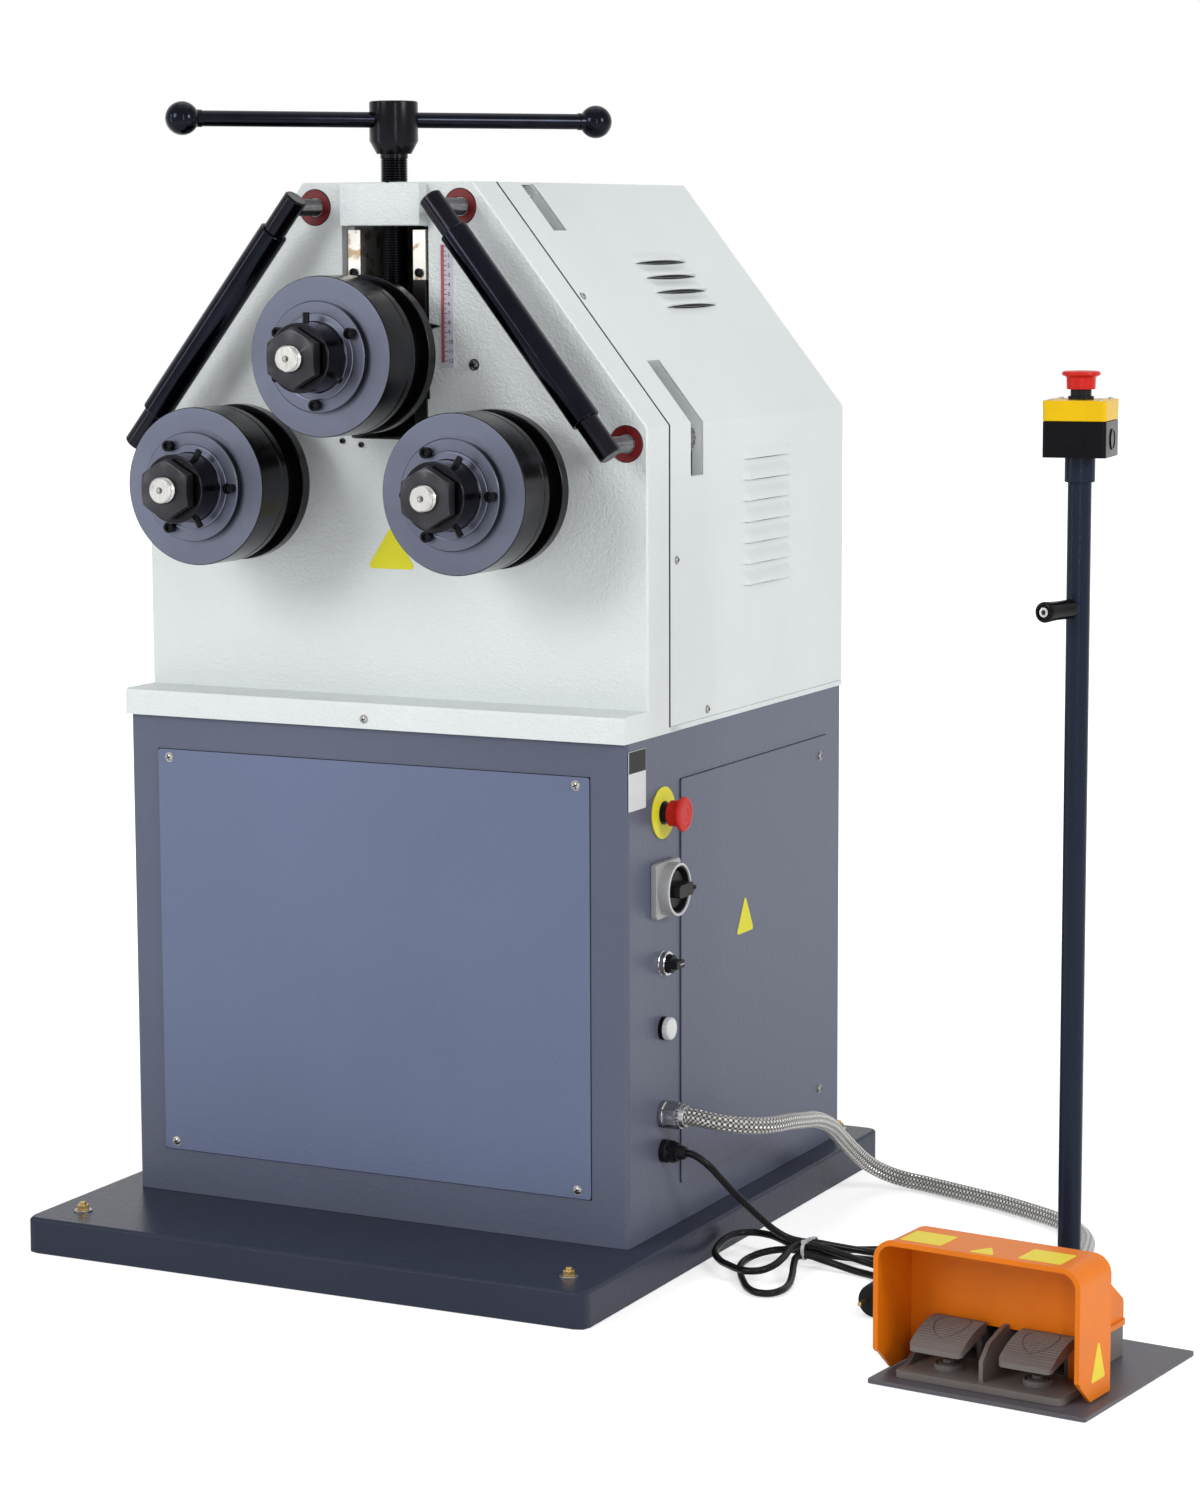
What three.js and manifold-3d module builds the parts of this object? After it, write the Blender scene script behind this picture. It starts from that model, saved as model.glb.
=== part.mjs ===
// Electric ring roller: three bending rolls on a cast front plate, a cabinet on a sheet-steel
// plinth, and a foot station with two pedals and an emergency stop on a pole.
// Millimetres. x runs right from the rolls' mid plane, y back from the cabinet's front face,
// z up from the floor. The root group at the end moves the origin under the object's middle.
import * as THREE from 'three';
import { mergeVertices } from 'three/addons/utils/BufferGeometryUtils.js';
import Module from 'manifold-3d';

const wasm = await Module();
wasm.setup();

// Clearances and drawing values that all the pieces share.
const gap = 0.3;
const overrun = 5;
const weld = 1e-3;
const faces = { small: 8, middle: 12, large: 18 };
const cornerSteps = 2;
const quarterTurn = Math.PI / 2;
const degree = Math.PI / 180;

// Driving dimensions of the stand.
const plinth = {
  beyondLeft: 44.6, beyondRight: 33.4, beyondFront: 176.7, beyondBack: 54.7, height: 42.6,
  sheet: 4, corner: 14, fold: 3, lip: 70,
};
const anchor = { sideInset: 46, frontInset: 52, backInset: 27, holeRadius: 7 };
const cabinet = { width: 660, depth: 611, top: 623, sheet: 3, corner: 6 };
const wireHole = { radius: 30, y: 470 };
const frontCover = {
  fromLeft: 39, fromRight: 47, fromPlinth: 53.4, fromTop: 40.5, sheet: 2, land: 18, corner: 3,
};
const sideCover = {
  fromFront: 137, fromBack: 49, fromPlinth: 47.4, fromTop: 57, sheet: 2, land: 18, corner: 3,
};

// Everything above the cabinet is placed by its height over the cabinet's top.
const overCabinet = (heights) => Object.fromEntries(
  Object.entries(heights).map(([name, height]) => [name, cabinet.top + height]),
);

// Driving dimensions of the rolls and of what holds them on their shafts.
const rolls = {
  ...overCabinet({ lowAxis: 280.5, topAxis: 429.5 }), spread: 167.7, radius: 90, front: -102, back: 3,
  jointAt: -57, jointGroove: 1.5, ringBack: -45, discFront: -13, grooveRadius: 75, edge: 2,
};
const flange = { radius: 62.5, thickness: 9, hubRadius: 39, hubLength: 38, edge: 1.5 };
const nut = { across: 60, hexLength: 14, faceRadius: 26, faceLength: 4, edge: 1.5 };
const shaft = {
  radius: 25, threadRadius: 14.5, threadOut: 9, threadEdge: 1.5, centreRadius: 4,
  centreDepth: 6, seatShort: 1, collarRadius: 38, collarEdge: 2, journalRadius: 30,
  rearRadius: 22.5, rearOut: 2,
};

// Driving dimensions of the gear train: a pinion between the two lower rolls' gears.
const gears = {
  module: 6, rollTeeth: 42, pinionTeeth: 15, front: 200, width: 35, pinionProud: 2,
  webRadius: 106, hubRadius: 44, webDepth: 10, shaftRadius: 18, shaftIn: 45,
};
const toothShares = { addendum: 0.9, dedendum: 1.25, tip: 0.105, root: 0.265 };

// Driving dimensions of the cast front, its slideway and the carriage that slides in it.
const casting = {
  ...overCabinet({ flangeTop: 6, ledgeTop: 31, shoulder: 350, top: 623.7 }),
  beyondCabinet: 1, face: 51.5, back: 108.4, topHalf: 112, ledgeFront: -8.5, ledgeRound: 6,
  flangeBack: 133, edge: 2, wall: 24, rim: 16, columnHalf: 80, blockHalf: 52, blockFront: 34, blockDown: 1.5,
  blockUp: 1, bossRadius: 58, pinionBoss: 36, bossBack: 190, pinionStop: 85,
};
const slot = { ...overCabinet({ bottom: 330, top: 574 }), half: 51, corner: 4 };
const gib = { width: 16.4, proud: 2 };
const carriage = {
  below: 62.5, above: 57.5, proud: 11.5, flangeHalf: 66, flangeThickness: 11, edge: 2,
  collarRadius: 32, collarWidth: 9,
};
const pointer = { up: 31, height: 9, thickness: 3, off: 3.5, tip: 71.5, root: 8 };
const spindle = {
  ...overCabinet({
    bottom: 462.3, neckBottom: 469, neckTop: 477, coneBottom: 655.6, hubBottom: 670.3, hubTop: 715.5,
  }),
  y: 69.5, radius: 16, neckRadius: 12, coneRadius: 20, hubRadius: 28, edge: 2,
};
const keeperPin = { radius: 3, reach: 30 };
const handle = {
  underTop: 21.5, reach: 252, radius: 9, ballRadius: 19, neckRadius: 11, neckLength: 8,
  azimuth: 50, ballSteps: 6,
};

// Driving dimensions of the guide arms, and of the captive nuts that move them.
const stud = {
  topInset: 16.5, topDown: 28.3, lowInset: 26.5, lowDown: 18.7, radius: 10, bossRadius: 16,
  bossBack: 170, end: 214, edge: 1.5,
};
const wheel = { radius: 22, width: 19, knurls: 24, knurlDepth: 1.3 };
const keeper = { thickness: 6, half: 14, ribHalf: 8, ribIn: 25, ribOut: 33 };
const arm = { y: -4, radius: 13.5, beyond: 14, edge: 2 };
const sleeve = { radius: 17, short: 35.5, edge: 1.5 };

// Driving dimensions of the sheet cowl behind the casting.
const cowl = { sheet: 3 };
const wheelSlot = { front: 166, back: 200, topDown: 70.5, topOver: 12, lowUp: 90, lowDown: 61 };
const louvre = { height: 11, root: 2, proud: 6, sheet: 1.6 };
const slopeLouvres = { count: 4, first: 231, pitch: 22, front: 314, back: 452 };
const sideLouvres = { count: 7, first: 921, pitch: 24.9, front: 306, back: 456 };

// Driving dimensions of the drive behind the casting.
const rearPlate = {
  ...overCabinet({ footTop: 14, shoulder: 307, top: 377 }),
  front: 247, back: 272, half: 262, topHalf: 180, footFront: 222,
};
const motor = {
  spigotRadius: 70, spigotLength: 14, boxRadius: 104, boxLength: 96, neckRadius: 62,
  neckLength: 14, bodyRadius: 84, bodyLength: 150, finCount: 10, finHeight: 7,
  capRadius: 88, capLength: 46, round: 10, shaftDepth: 48, shaftEnd: 3, footHalf: 84,
  footIn: 18, footLength: 64, boxHalf: 42, boxIn: 60, boxDepth: 78, boxHeight: 30,
};
const finShares = { rootHalf: 0.22, tipHalf: 0.16 };

// Driving dimensions of the controls on the cabinet's right side. Their values along x are
// measured out from the panel, and each is placed by its distance under the one above.
const controlsY = 91;
const underTop = { stop: 89.7 };
const spacing = { isolator: 87.3, selector: 87.2, lamp: 76, conduitGland: 101.1, cableGland: 43.1 };
const thread = { radius: 11, behind: 12 };
const stop = {
  height: cabinet.top - underTop.stop, ringRadius: 30, ringThickness: 2, collarRadius: 13.5, collarTop: 4.4,
  neckRadius: 11, neckTop: 16.4, stemRadius: 8, stemBottom: 8.4, boreBottom: 2.1,
  skirtRadius: 14, skirtBottom: 10.7, roomTop: 23, capRadius: 20, capTop: 29.4, round: 2.5,
};
const isolator = {
  height: stop.height - spacing.isolator, plateHalf: 32, plateThickness: 8, corner: 5,
  drumRadius: 27.5, drumTop: 25,
  edge: 2, knobRadius: 24, knobThickness: 4, gripHalf: 6, gripReach: 22, gripTop: 42,
  stemRadius: 6, stemDepth: 12,
};
const selector = {
  height: isolator.height - spacing.selector, bezelRadius: 14.25, bezelTop: 9, edge: 2,
  knobRadius: 10.5, knobTop: 14,
  leverHalf: 3.2, leverReach: 9.5, leverTop: 23, stemRadius: 4, stemDepth: 6,
};
const lamp = {
  height: selector.height - spacing.lamp, bezelRadius: 14, bezelTop: 5, lensRadius: 11.5,
  lensTop: 13, edge: 3,
};
const conduitGland = {
  height: lamp.height - spacing.conduitGland, baseRadius: 17, baseTop: 6, across: 30, hexTop: 22,
  noseRadius: 13.5, noseTop: 31,
  noseEnd: 12, boreRadius: 8,
};
const cableGland = {
  height: conduitGland.height - spacing.cableGland, baseRadius: 13.5, baseTop: 8, across: 23,
  hexTop: 17, noseRadius: 9.5,
  noseTop: 30, noseEnd: 6.5, boreRadius: 3,
};

// Driving dimensions of the foot station in its own frame: x along its front edge, y back.
const station = { x: 714.5, y: -200.8, turn: -6.1 };
const floorPlate = { left: -2, right: 248, front: -13, back: 257, thickness: 5, corner: 3 };
const guard = {
  width: 232.5, depth: 78, top: 150.3, bottom: 7, wall: 3.5, round: 20, chamferTop: 34,
  chamferBack: 31, rimProud: 2, rimDepth: 5,
};
const housing = {
  left: 42, right: 190, back: 202, bottom: 40, top: 98, slopeFront: 160, slopeBottom: 67,
  lip: 3, lipHeight: 6,
};
const pedalBase = {
  left: 20, right: 212, front: 5, thickness: 8, corner: 8, railWidth: 6, railFront: 26,
  railRise: 17, railRun: 30, ribHalf: 2.5, ribFront: 14, ribRise: 22, ribTop: 47, ribRun: 50,
  postRadius: 12, postHeight: 6, postCore: 6, postCoreHeight: 10, postY: 42, wellFront: 84,
  wellBack: 112, wellFloor: 14, cheekWidth: 6, cheekTop: 45,
};
const ribShares = { run: 1 / 3, rise: 0.8 };
const rearGland = { x: 66, height: 22, radius: 14, length: 20, across: 26, hexLength: 10 };
const pedal = {
  leftX: 65, rightX: 168, half: 30.5, front: 9, back: 71, frontTop: 41, backTop: 60, crown: 6,
  thickness: 5, skirt: 9, axisY: 98, axisHeight: 34, hubRadius: 6.5, pinRadius: 3, armHalf: 11,
  armThickness: 7, armFront: 40, crownSteps: 6, finger: 2,
};
const pole = {
  x: 116, y: 222, radius: 12.5, footRadius: 18, footHeight: 9, top: 955.4, collarRadius: 16,
  collarBottom: 929,
};
const grip = {
  height: 797, turn: -99, inner: 14, outer: 63, radius: 11, waistRadius: 9.5, round: 2.5,
  boltRadius: 4, boltEnd: 56,
};
const stopBox = { half: 33.5, turn: 13.4, height: 37.5, lidHeight: 21.4, corner: 4, wall: 3, edge: 1.5 };

// Route of the steel-sheathed conduit from the cabinet to the foot station, chosen by hand.
const conduit = {
  radius: 10, steps: 36, sides: 8,
  route: [
    [374, 91, 181.7], [389, 92.5, 179.5], [407, 99, 176.5], [424, 113, 173.3], [435, 133, 170],
    [441, 160, 166.5], [442, 195, 162], [440, 235, 154.5], [433, 294, 142], [423, 362, 119],
    [415, 417, 91], [413, 462, 64], [418, 500, 39], [431, 528, 22], [450, 541, 13.5],
    [478, 542, 10.5], [530, 523, 10.4], [592, 499, 10.4], [655, 467, 10.4], [691, 444, 10.4],
    [722, 414, 10.4], [746, 375, 10.4], [760, 331, 10.4], [774, 270, 10.4], [788, 205, 10.4],
    [800, 150, 10.4], [808, 108, 12], [810.4, 76, 17.5], [808.3, 48, 21.5],
  ],
};

// Route of the mains lead: down from its gland, then tied in a hank with four loops.
const lead = {
  radius: 4.25, steps: 18, sides: 6,
  route: [
    [366, 91, 138.3], [374, 91.5, 135.5], [386, 97, 125], [395, 108, 109.5], [404, 121, 92.5],
    [415, 134, 75], [428, 147, 56.5], [441, 158, 41],
  ],
};
const hank = {
  steps: 104, floor: 5, ringRadius: 36, innerRadius: 30, turnSteps: 5,
  outbound: [
    [455, 168, 30.5], [470, 171.5, 27.5], [486, 180, 25.5], [502, 193, 20.5], [540, 223, 9.5],
    [592, 238, 5],
  ],
  ringCentre: [647, 274], ringStart: -quarterTurn, ringEnd: quarterTurn,
  leftLoop: [
    [600, 302, 5], [553, 262, 6], [505, 214, 11], [486, 190, 15], [470, 178, 17.5],
    [452, 183, 18.5], [432, 196, 19.5], [413, 206, 20], [392, 208, 20], [377, 195, 20],
    [371.5, 168, 18], [375, 137, 12.5], [393, 111, 11], [415, 88, 13.5], [434, 72, 15.5],
    [450, 66, 16.5], [463, 72, 17.5], [471, 90, 20], [472, 115, 23.5], [470, 138, 27],
    [473, 155, 28], [486, 168, 26], [504, 177, 19.5], [542, 184, 9], [596, 171, 5],
  ],
  innerCentre: [641, 194],
  frontLoop: [
    [600, 214, 5], [553, 205, 6], [505, 188, 10], [486, 174, 15], [470, 166.5, 17.5],
    [452, 170, 16], [434, 171.5, 12.5], [420, 165, 9], [412, 150, 6], [414, 124, 5],
    [428, 92, 5], [445, 62, 5], [462, 38, 5], [478, 27, 5], [492, 30, 5], [499, 46, 5],
    [497, 72, 5], [489, 100, 8], [479, 128, 13], [475, 145, 16], [483, 156, 16.5],
    [502, 162, 11], [540, 158, 5], [578, 143, 5], [602, 118, 6], [615, 98, 10.5], [622, 84, 15],
  ],
};
const plug = {
  x: 628, y: 62, height: 19.4, radius: 19, bodyLength: 38, taperLength: 18, taperRadius: 6.5,
  tipLength: 12, pinRadius: 2.4, pinLength: 19, pinSpread: 9.5, edge: 2,
};

// Materials by look.
const looks = {
  slate: [0x4b5164, 0.5, 0.1], pale: [0xccd3d1, 0.5, 0.05], blued: [0x3a3a42, 0.35, 0.9],
  steel: [0xc4c4c4, 0.3, 0.95], darkSteel: [0x55585d, 0.4, 0.85], black: [0x17181a, 0.5, 0.05],
  orange: [0xe8791c, 0.45, 0], grey: [0x6b6e72, 0.6, 0.05], plate: [0x3c3d42, 0.6, 0.2],
  silver: [0xa9abad, 0.4, 0.3], red: [0xd6322d, 0.4, 0], yellow: [0xe9c81e, 0.45, 0],
  white: [0xe8e8e4, 0.3, 0],
  motor: [0x5d6670, 0.55, 0.2], rubber: [0x121212, 0.7, 0],
};
const materials = Object.fromEntries(Object.entries(looks).map(([name, look]) => {
  const [color, roughness, metalness] = look;
  return [name, new THREE.MeshStandardMaterial({ color, roughness, metalness })];
}));

const machine = new THREE.Group();
const stationGroup = new THREE.Group();
stationGroup.position.set(station.x, station.y, 0);
stationGroup.rotation.z = station.turn * degree;
const cords = new THREE.Group();

function add(name, body, look, group = machine) {
  const mesh = new THREE.Mesh(geometryOf(body), materials[look]);
  mesh.name = name;
  group.add(mesh);
  return mesh;
}

// A closed geometry with its shared corners merged and no triangle of zero size.
function welded(geometry) {
  const plain = geometry.clone();
  plain.deleteAttribute('normal');
  plain.deleteAttribute('uv');
  const merged = mergeVertices(plain, weld);
  const index = merged.index.array;
  const corners = [];
  for (let i = 0; i < index.length; i += 3) {
    const [a, b, c] = [index[i], index[i + 1], index[i + 2]];
    if (a !== b && b !== c && c !== a) corners.push(a, b, c);
  }
  merged.setIndex(corners);
  return merged;
}

// A closed geometry becomes a body that can be joined and cut.
function solid(geometry) {
  const closed = welded(geometry);
  return new wasm.Manifold(new wasm.Mesh({
    numProp: 3,
    vertProperties: Float32Array.from(closed.attributes.position.array),
    triVerts: Uint32Array.from(closed.index.array),
  }));
}

const join = (first, ...others) => others.reduce((whole, body) => whole.add(body), first);
const cut = (first, ...tools) => tools.reduce((left, tool) => left.subtract(tool), first);

function geometryOf(body) {
  const { vertProperties, triVerts } = body.getMesh();
  const geometry = new THREE.BufferGeometry();
  geometry.setAttribute('position', new THREE.BufferAttribute(vertProperties, 3));
  geometry.setIndex(new THREE.BufferAttribute(triVerts, 1));
  const closed = welded(geometry);
  closed.computeVertexNormals();
  return closed;
}

// Outlines.
const outline = (points) => new THREE.Shape(points.map(([x, y]) => new THREE.Vector2(x, y)));
const rectangle = (left, bottom, right, top) => (
  [[left, bottom], [right, bottom], [right, top], [left, top]]
);
const mirrored = (points) => [...points, ...points.map(([x, y]) => [-x, y]).reverse()];

function softened(points, radius) {
  const shape = new THREE.Shape();
  const radii = Array.isArray(radius) ? radius : points.map(() => radius);
  points.forEach((corner, i) => {
    const before = towards(corner, points.at(i - 1), radii[i]);
    const after = towards(corner, points[(i + 1) % points.length], radii[i]);
    if (i === 0) shape.moveTo(...before);
    else shape.lineTo(...before);
    if (radii[i] > 0) shape.quadraticCurveTo(...corner, ...after);
  });
  shape.closePath();
  return shape;
}

function towards([x, y], [nextX, nextY], distance) {
  const share = distance / Math.hypot(nextX - x, nextY - y);
  return [x + share * (nextX - x), y + share * (nextY - y)];
}

function ringOf(radius, count, start = 0) {
  return Array.from({ length: count }, (_, i) => {
    const angle = start + (i / count) * 2 * Math.PI;
    return [radius * Math.cos(angle), radius * Math.sin(angle)];
  });
}

// Prisms: an outline drawn across an axis, from one place on that axis to another.
function prismZ(shape, from, to, edge = 0) {
  return new THREE.ExtrudeGeometry(shape, {
    depth: to - from - 2 * edge, curveSegments: cornerSteps, bevelEnabled: edge > 0,
    bevelThickness: edge, bevelSize: edge, bevelOffset: -edge, bevelSegments: 1,
  }).translate(0, 0, from + edge);
}
const prismY = (shape, from, to, edge) => prismZ(shape, -to, -from, edge).rotateX(quarterTurn);
const acrossX = new THREE.Matrix4().makeBasis(
  new THREE.Vector3(0, 1, 0), new THREE.Vector3(0, 0, 1), new THREE.Vector3(1, 0, 0),
);
const prismX = (shape, from, to, edge) => prismZ(shape, from, to, edge).applyMatrix4(acrossX);
const block = ([x0, x1], [y0, y1], [z0, z1]) => (
  new THREE.BoxGeometry(x1 - x0, y1 - y0, z1 - z0)
    .translate((x0 + x1) / 2, (y0 + y1) / 2, (z0 + z1) / 2)
);

// Turned pieces: a profile of radius and place along the axis, from low to high.
const turned = (profile, count) => new THREE.LatheGeometry(
  profile.map(([radius, along]) => new THREE.Vector2(radius, along)), count,
);
const turnedY = (profile, x, z, count = faces.large) => turned(profile, count).translate(x, 0, z);
const turnedZ = (profile, x, y, count = faces.large) => (
  turned(profile, count).rotateX(quarterTurn).translate(x, y, 0)
);
const turnedX = (profile, y, z, count = faces.large) => (
  turned(profile, count).rotateZ(-quarterTurn).translate(0, y, z)
);
// A bore in which something turns clears the corners of its facets at any angle.
const turningBore = (radius, count) => (radius + gap) / Math.cos(Math.PI / count);
const bar = (radius, from, to) => [[0, from], [radius, from], [radius, to], [0, to]];
const tube = (inner, outer, from, to, edge) => [
  [inner, from], [outer - edge, from], [outer, from + edge], [outer, to - edge],
  [outer - edge, to], [inner, to], [inner, from],
];

// The stand: plinth, cabinet and its two covers.
const halfCabinet = cabinet.width / 2;
const plinthSides = {
  left: -halfCabinet - plinth.beyondLeft,
  right: halfCabinet + plinth.beyondRight,
  front: -plinth.beyondFront,
  back: cabinet.depth + plinth.beyondBack,
};

function plinthOutline(inset) {
  const corner = Math.max(plinth.corner - inset, plinth.sheet);
  return softened(rectangle(
    plinthSides.left + inset, plinthSides.front + inset,
    plinthSides.right - inset, plinthSides.back - inset,
  ), corner);
}

function basePlinth() {
  const tray = solid(prismZ(plinthOutline(0), -plinth.fold, plinth.height, plinth.fold));
  const below = solid(prismZ(plinthOutline(-overrun), -overrun, 0));
  const room = solid(prismZ(plinthOutline(plinth.sheet), plinth.sheet, plinth.height - plinth.sheet));
  const mouth = solid(prismZ(plinthOutline(plinth.lip), -overrun, plinth.sheet + overrun));
  const holes = [
    [plinthSides.left + anchor.sideInset, plinthSides.front + anchor.frontInset],
    [plinthSides.right - anchor.sideInset, plinthSides.front + anchor.frontInset],
    [plinthSides.left + anchor.sideInset, plinthSides.back - anchor.backInset],
    [plinthSides.right - anchor.sideInset, plinthSides.back - anchor.backInset],
  ].map(([x, y]) => solid(turnedZ(
    bar(anchor.holeRadius, -overrun, plinth.height + overrun), x, y, faces.small,
  )));
  return cut(tray, below, room, mouth, ...holes);
}

function cabinetShell() {
  const wall = (inset) => softened(
    rectangle(inset - halfCabinet, inset, halfCabinet - inset, cabinet.depth - inset),
    cabinet.corner - inset,
  );
  const outer = solid(prismZ(wall(0), plinth.height, cabinet.top));
  const inner = solid(prismZ(wall(cabinet.sheet), plinth.height - overrun, cabinet.top - cabinet.sheet));
  const front = solid(prismY(coverOutline(frontCoverSides, frontCover.land), -overrun,
    cabinet.sheet + overrun));
  const side = solid(prismX(coverOutline(sideCoverSides, sideCover.land),
    halfCabinet - cabinet.sheet - overrun, halfCabinet + overrun));
  const wires = solid(turnedZ(
    bar(wireHole.radius, cabinet.top - cabinet.sheet - overrun, cabinet.top + overrun),
    0, wireHole.y, faces.middle,
  ));
  const controls = [stop, isolator, selector, lamp, conduitGland, cableGland].map((control) => (
    solid(turnedX(bar(thread.radius + gap, halfCabinet - cabinet.sheet - overrun,
      halfCabinet + overrun), controlsY, control.height, faces.small))
  ));
  return cut(outer, inner, front, side, wires, ...controls);
}

const frontCoverSides = [
  frontCover.fromLeft - halfCabinet, plinth.height + frontCover.fromPlinth,
  halfCabinet - frontCover.fromRight, cabinet.top - frontCover.fromTop,
];
const sideCoverSides = [
  sideCover.fromFront, plinth.height + sideCover.fromPlinth,
  cabinet.depth - sideCover.fromBack, cabinet.top - sideCover.fromTop,
];

function coverOutline([left, bottom, right, top], inset, corner = 0) {
  return softened(rectangle(left + inset, bottom + inset, right - inset, top - inset), corner);
}

const coverOnFront = () => solid(prismY(
  coverOutline(frontCoverSides, 0, frontCover.corner), -frontCover.sheet, 0,
));
const coverOnSide = () => solid(prismX(
  coverOutline(sideCoverSides, 0, sideCover.corner), halfCabinet, halfCabinet + sideCover.sheet,
));

// The shape that casting and cowl share: upright sides, then slopes up to a flat top.
const hoodHalf = halfCabinet + casting.beyondCabinet;
const slope = (() => {
  const run = hoodHalf - casting.topHalf;
  const fall = casting.top - casting.shoulder;
  const length = Math.hypot(run, fall);
  return { down: [run / length, -fall / length], out: [fall / length, run / length] };
})();

function insetCorner([x, z], first, second, inset) {
  const scale = inset / (1 + first[0] * second[0] + first[1] * second[1]);
  return [x - scale * (first[0] + second[0]), z - scale * (first[1] + second[1])];
}

function hoodPoints(inset, bottom) {
  const top = insetCorner([casting.topHalf, casting.top], [0, 1], slope.out, inset);
  const shoulder = insetCorner([hoodHalf, casting.shoulder], slope.out, [1, 0], inset);
  return mirrored([[shoulder[0], bottom], shoulder, top]);
}

const rollPlaces = {
  left: [-rolls.spread, rolls.lowAxis],
  right: [rolls.spread, rolls.lowAxis],
  top: [0, rolls.topAxis],
};
const pitchRadius = (teeth) => (gears.module * teeth) / 2;
const pinionHeight = rolls.lowAxis - Math.sqrt(
  (pitchRadius(gears.rollTeeth) + pitchRadius(gears.pinionTeeth)) ** 2 - rolls.spread ** 2,
);
const studTop = [casting.topHalf - stud.topInset, casting.top - stud.topDown];
const studLow = [hoodHalf - stud.lowInset, casting.shoulder - stud.lowDown];
const studPlaces = {
  top_left: [-studTop[0], studTop[1]], top_right: studTop,
  low_left: [-studLow[0], studLow[1]], low_right: studLow,
};
const wheelFront = stud.bossBack + gap;
const keeperFront = wheelFront + wheel.width + gap;
const keeperBack = keeperFront + keeper.thickness;

function frontCasting() {
  const plate = solid(prismY(outline(hoodPoints(0, cabinet.top)), casting.face, casting.back,
    casting.edge));
  const ledge = solid(prismX(softened(
    rectangle(casting.ledgeFront, cabinet.top, casting.face + casting.wall, casting.ledgeTop),
    [0, 0, 0, casting.ledgeRound],
  ), -hoodHalf, hoodHalf));
  const foot = solid(block([-hoodHalf, hoodHalf],
    [casting.face, casting.flangeBack], [cabinet.top, casting.flangeTop]));
  const clampBlock = solid(block([-casting.blockHalf, casting.blockHalf],
    [casting.blockFront, casting.face + casting.wall],
    [slot.top + casting.blockUp, casting.top - casting.blockDown]));
  const bosses = [...castingBosses(), ...studBosses(), ...keeperBrackets()];
  const body = join(cut(plate, castingPocket()), ledge, foot, clampBlock, ...bosses);
  return cut(body, ...castingBores());
}

function castingPocket() {
  const pocket = solid(prismY(outline(hoodPoints(casting.rim, casting.ledgeTop)),
    casting.face + casting.wall, casting.back + overrun));
  const column = solid(block([-casting.columnHalf, casting.columnHalf],
    [casting.face, casting.back + 2 * overrun], [cabinet.top, casting.top]));
  return cut(pocket, column);
}

function castingBosses() {
  const from = casting.face + casting.wall / 2;
  const rollBosses = [rollPlaces.left, rollPlaces.right].map(([x, z]) => (
    solid(turnedY(bar(casting.bossRadius, from, casting.bossBack), x, z))
  ));
  const pinionBoss = turnedY(bar(casting.pinionBoss, from, casting.bossBack), 0, pinionHeight);
  return [...rollBosses, solid(pinionBoss)];
}

function studBosses() {
  return Object.values(studPlaces).map(([x, z]) => solid(turnedY(
    bar(stud.bossRadius, casting.face + casting.wall / 2, stud.bossBack), x, z, faces.middle,
  )));
}

// A bracket behind each stud boss keeps the nut between the two.
function keeperBrackets() {
  const depth = [casting.face + casting.wall / 2, keeperBack];
  const plateDepth = [keeperFront, keeperBack];
  return Object.entries(studPlaces).flatMap(([name, [x, z]]) => {
    if (name.startsWith('top')) {
      return [
        block([x - keeper.ribHalf, x + keeper.ribHalf], depth, [z - keeper.ribOut, z - keeper.ribIn]),
        block([x - keeper.half, x + keeper.half], plateDepth, [z - keeper.ribOut, z + keeper.half]),
      ].map(solid);
    }
    const side = Math.sign(x);
    const along = (from, to) => [x - side * from, x - side * to].sort((a, b) => a - b);
    return [
      block(along(keeper.ribIn, keeper.ribOut), depth, [z - keeper.ribHalf, z + keeper.ribHalf]),
      block(along(-keeper.half, keeper.ribOut), plateDepth, [z - keeper.half, z + keeper.half]),
    ].map(solid);
  });
}

function castingBores() {
  const journals = [rollPlaces.left, rollPlaces.right].map(([x, z]) => turnedY(
    bar(turningBore(shaft.journalRadius, faces.large), casting.face - overrun,
      casting.bossBack + overrun), x, z,
  ));
  const pinionBore = turnedY(
    bar(turningBore(gears.shaftRadius, faces.middle), casting.pinionStop,
      casting.bossBack + overrun), 0, pinionHeight, faces.middle,
  );
  const studBores = Object.values(studPlaces).map(([x, z]) => turnedY(
    bar(stud.radius + gap, casting.face - overrun, keeperBack + overrun), x, z, faces.middle,
  ));
  const slideway = prismY(softened(rectangle(-slot.half, slot.bottom, slot.half, slot.top),
    slot.corner), casting.face - overrun, casting.back + overrun);
  const screwBore = turnedZ(bar(turningBore(spindle.radius, faces.middle), slot.top - overrun,
    casting.top + overrun), 0, spindle.y, faces.middle);
  return [...journals, pinionBore, ...studBores, slideway, screwBore].map(solid);
}

function gibStrip(side) {
  const edges = [side * slot.half, side * (slot.half - gib.width)].sort((a, b) => a - b);
  return solid(block(edges, [casting.face - gib.proud, casting.back],
    [slot.bottom + slot.corner + gap, slot.top - slot.corner - gap]));
}

// The cowl: a hood of sheet with slots for the nuts' rims and pressed louvres.
function rearCowl() {
  const bottom = casting.flangeTop + gap;
  const front = casting.back + gap;
  const hood = solid(prismY(outline(hoodPoints(0, bottom)), front, cabinet.depth));
  const room = solid(prismY(outline(hoodPoints(cowl.sheet, bottom - overrun)), front - overrun,
    cabinet.depth - cowl.sheet));
  const presses = [1, -1].flatMap((side) => cowlLouvres(side));
  const slots = [1, -1].flatMap((side) => wheelSlots(side));
  const pressed = join(hood, ...presses.map((press) => press.wedge));
  return cut(pressed, room, ...slots, ...presses.map((press) => press.room));
}

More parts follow.
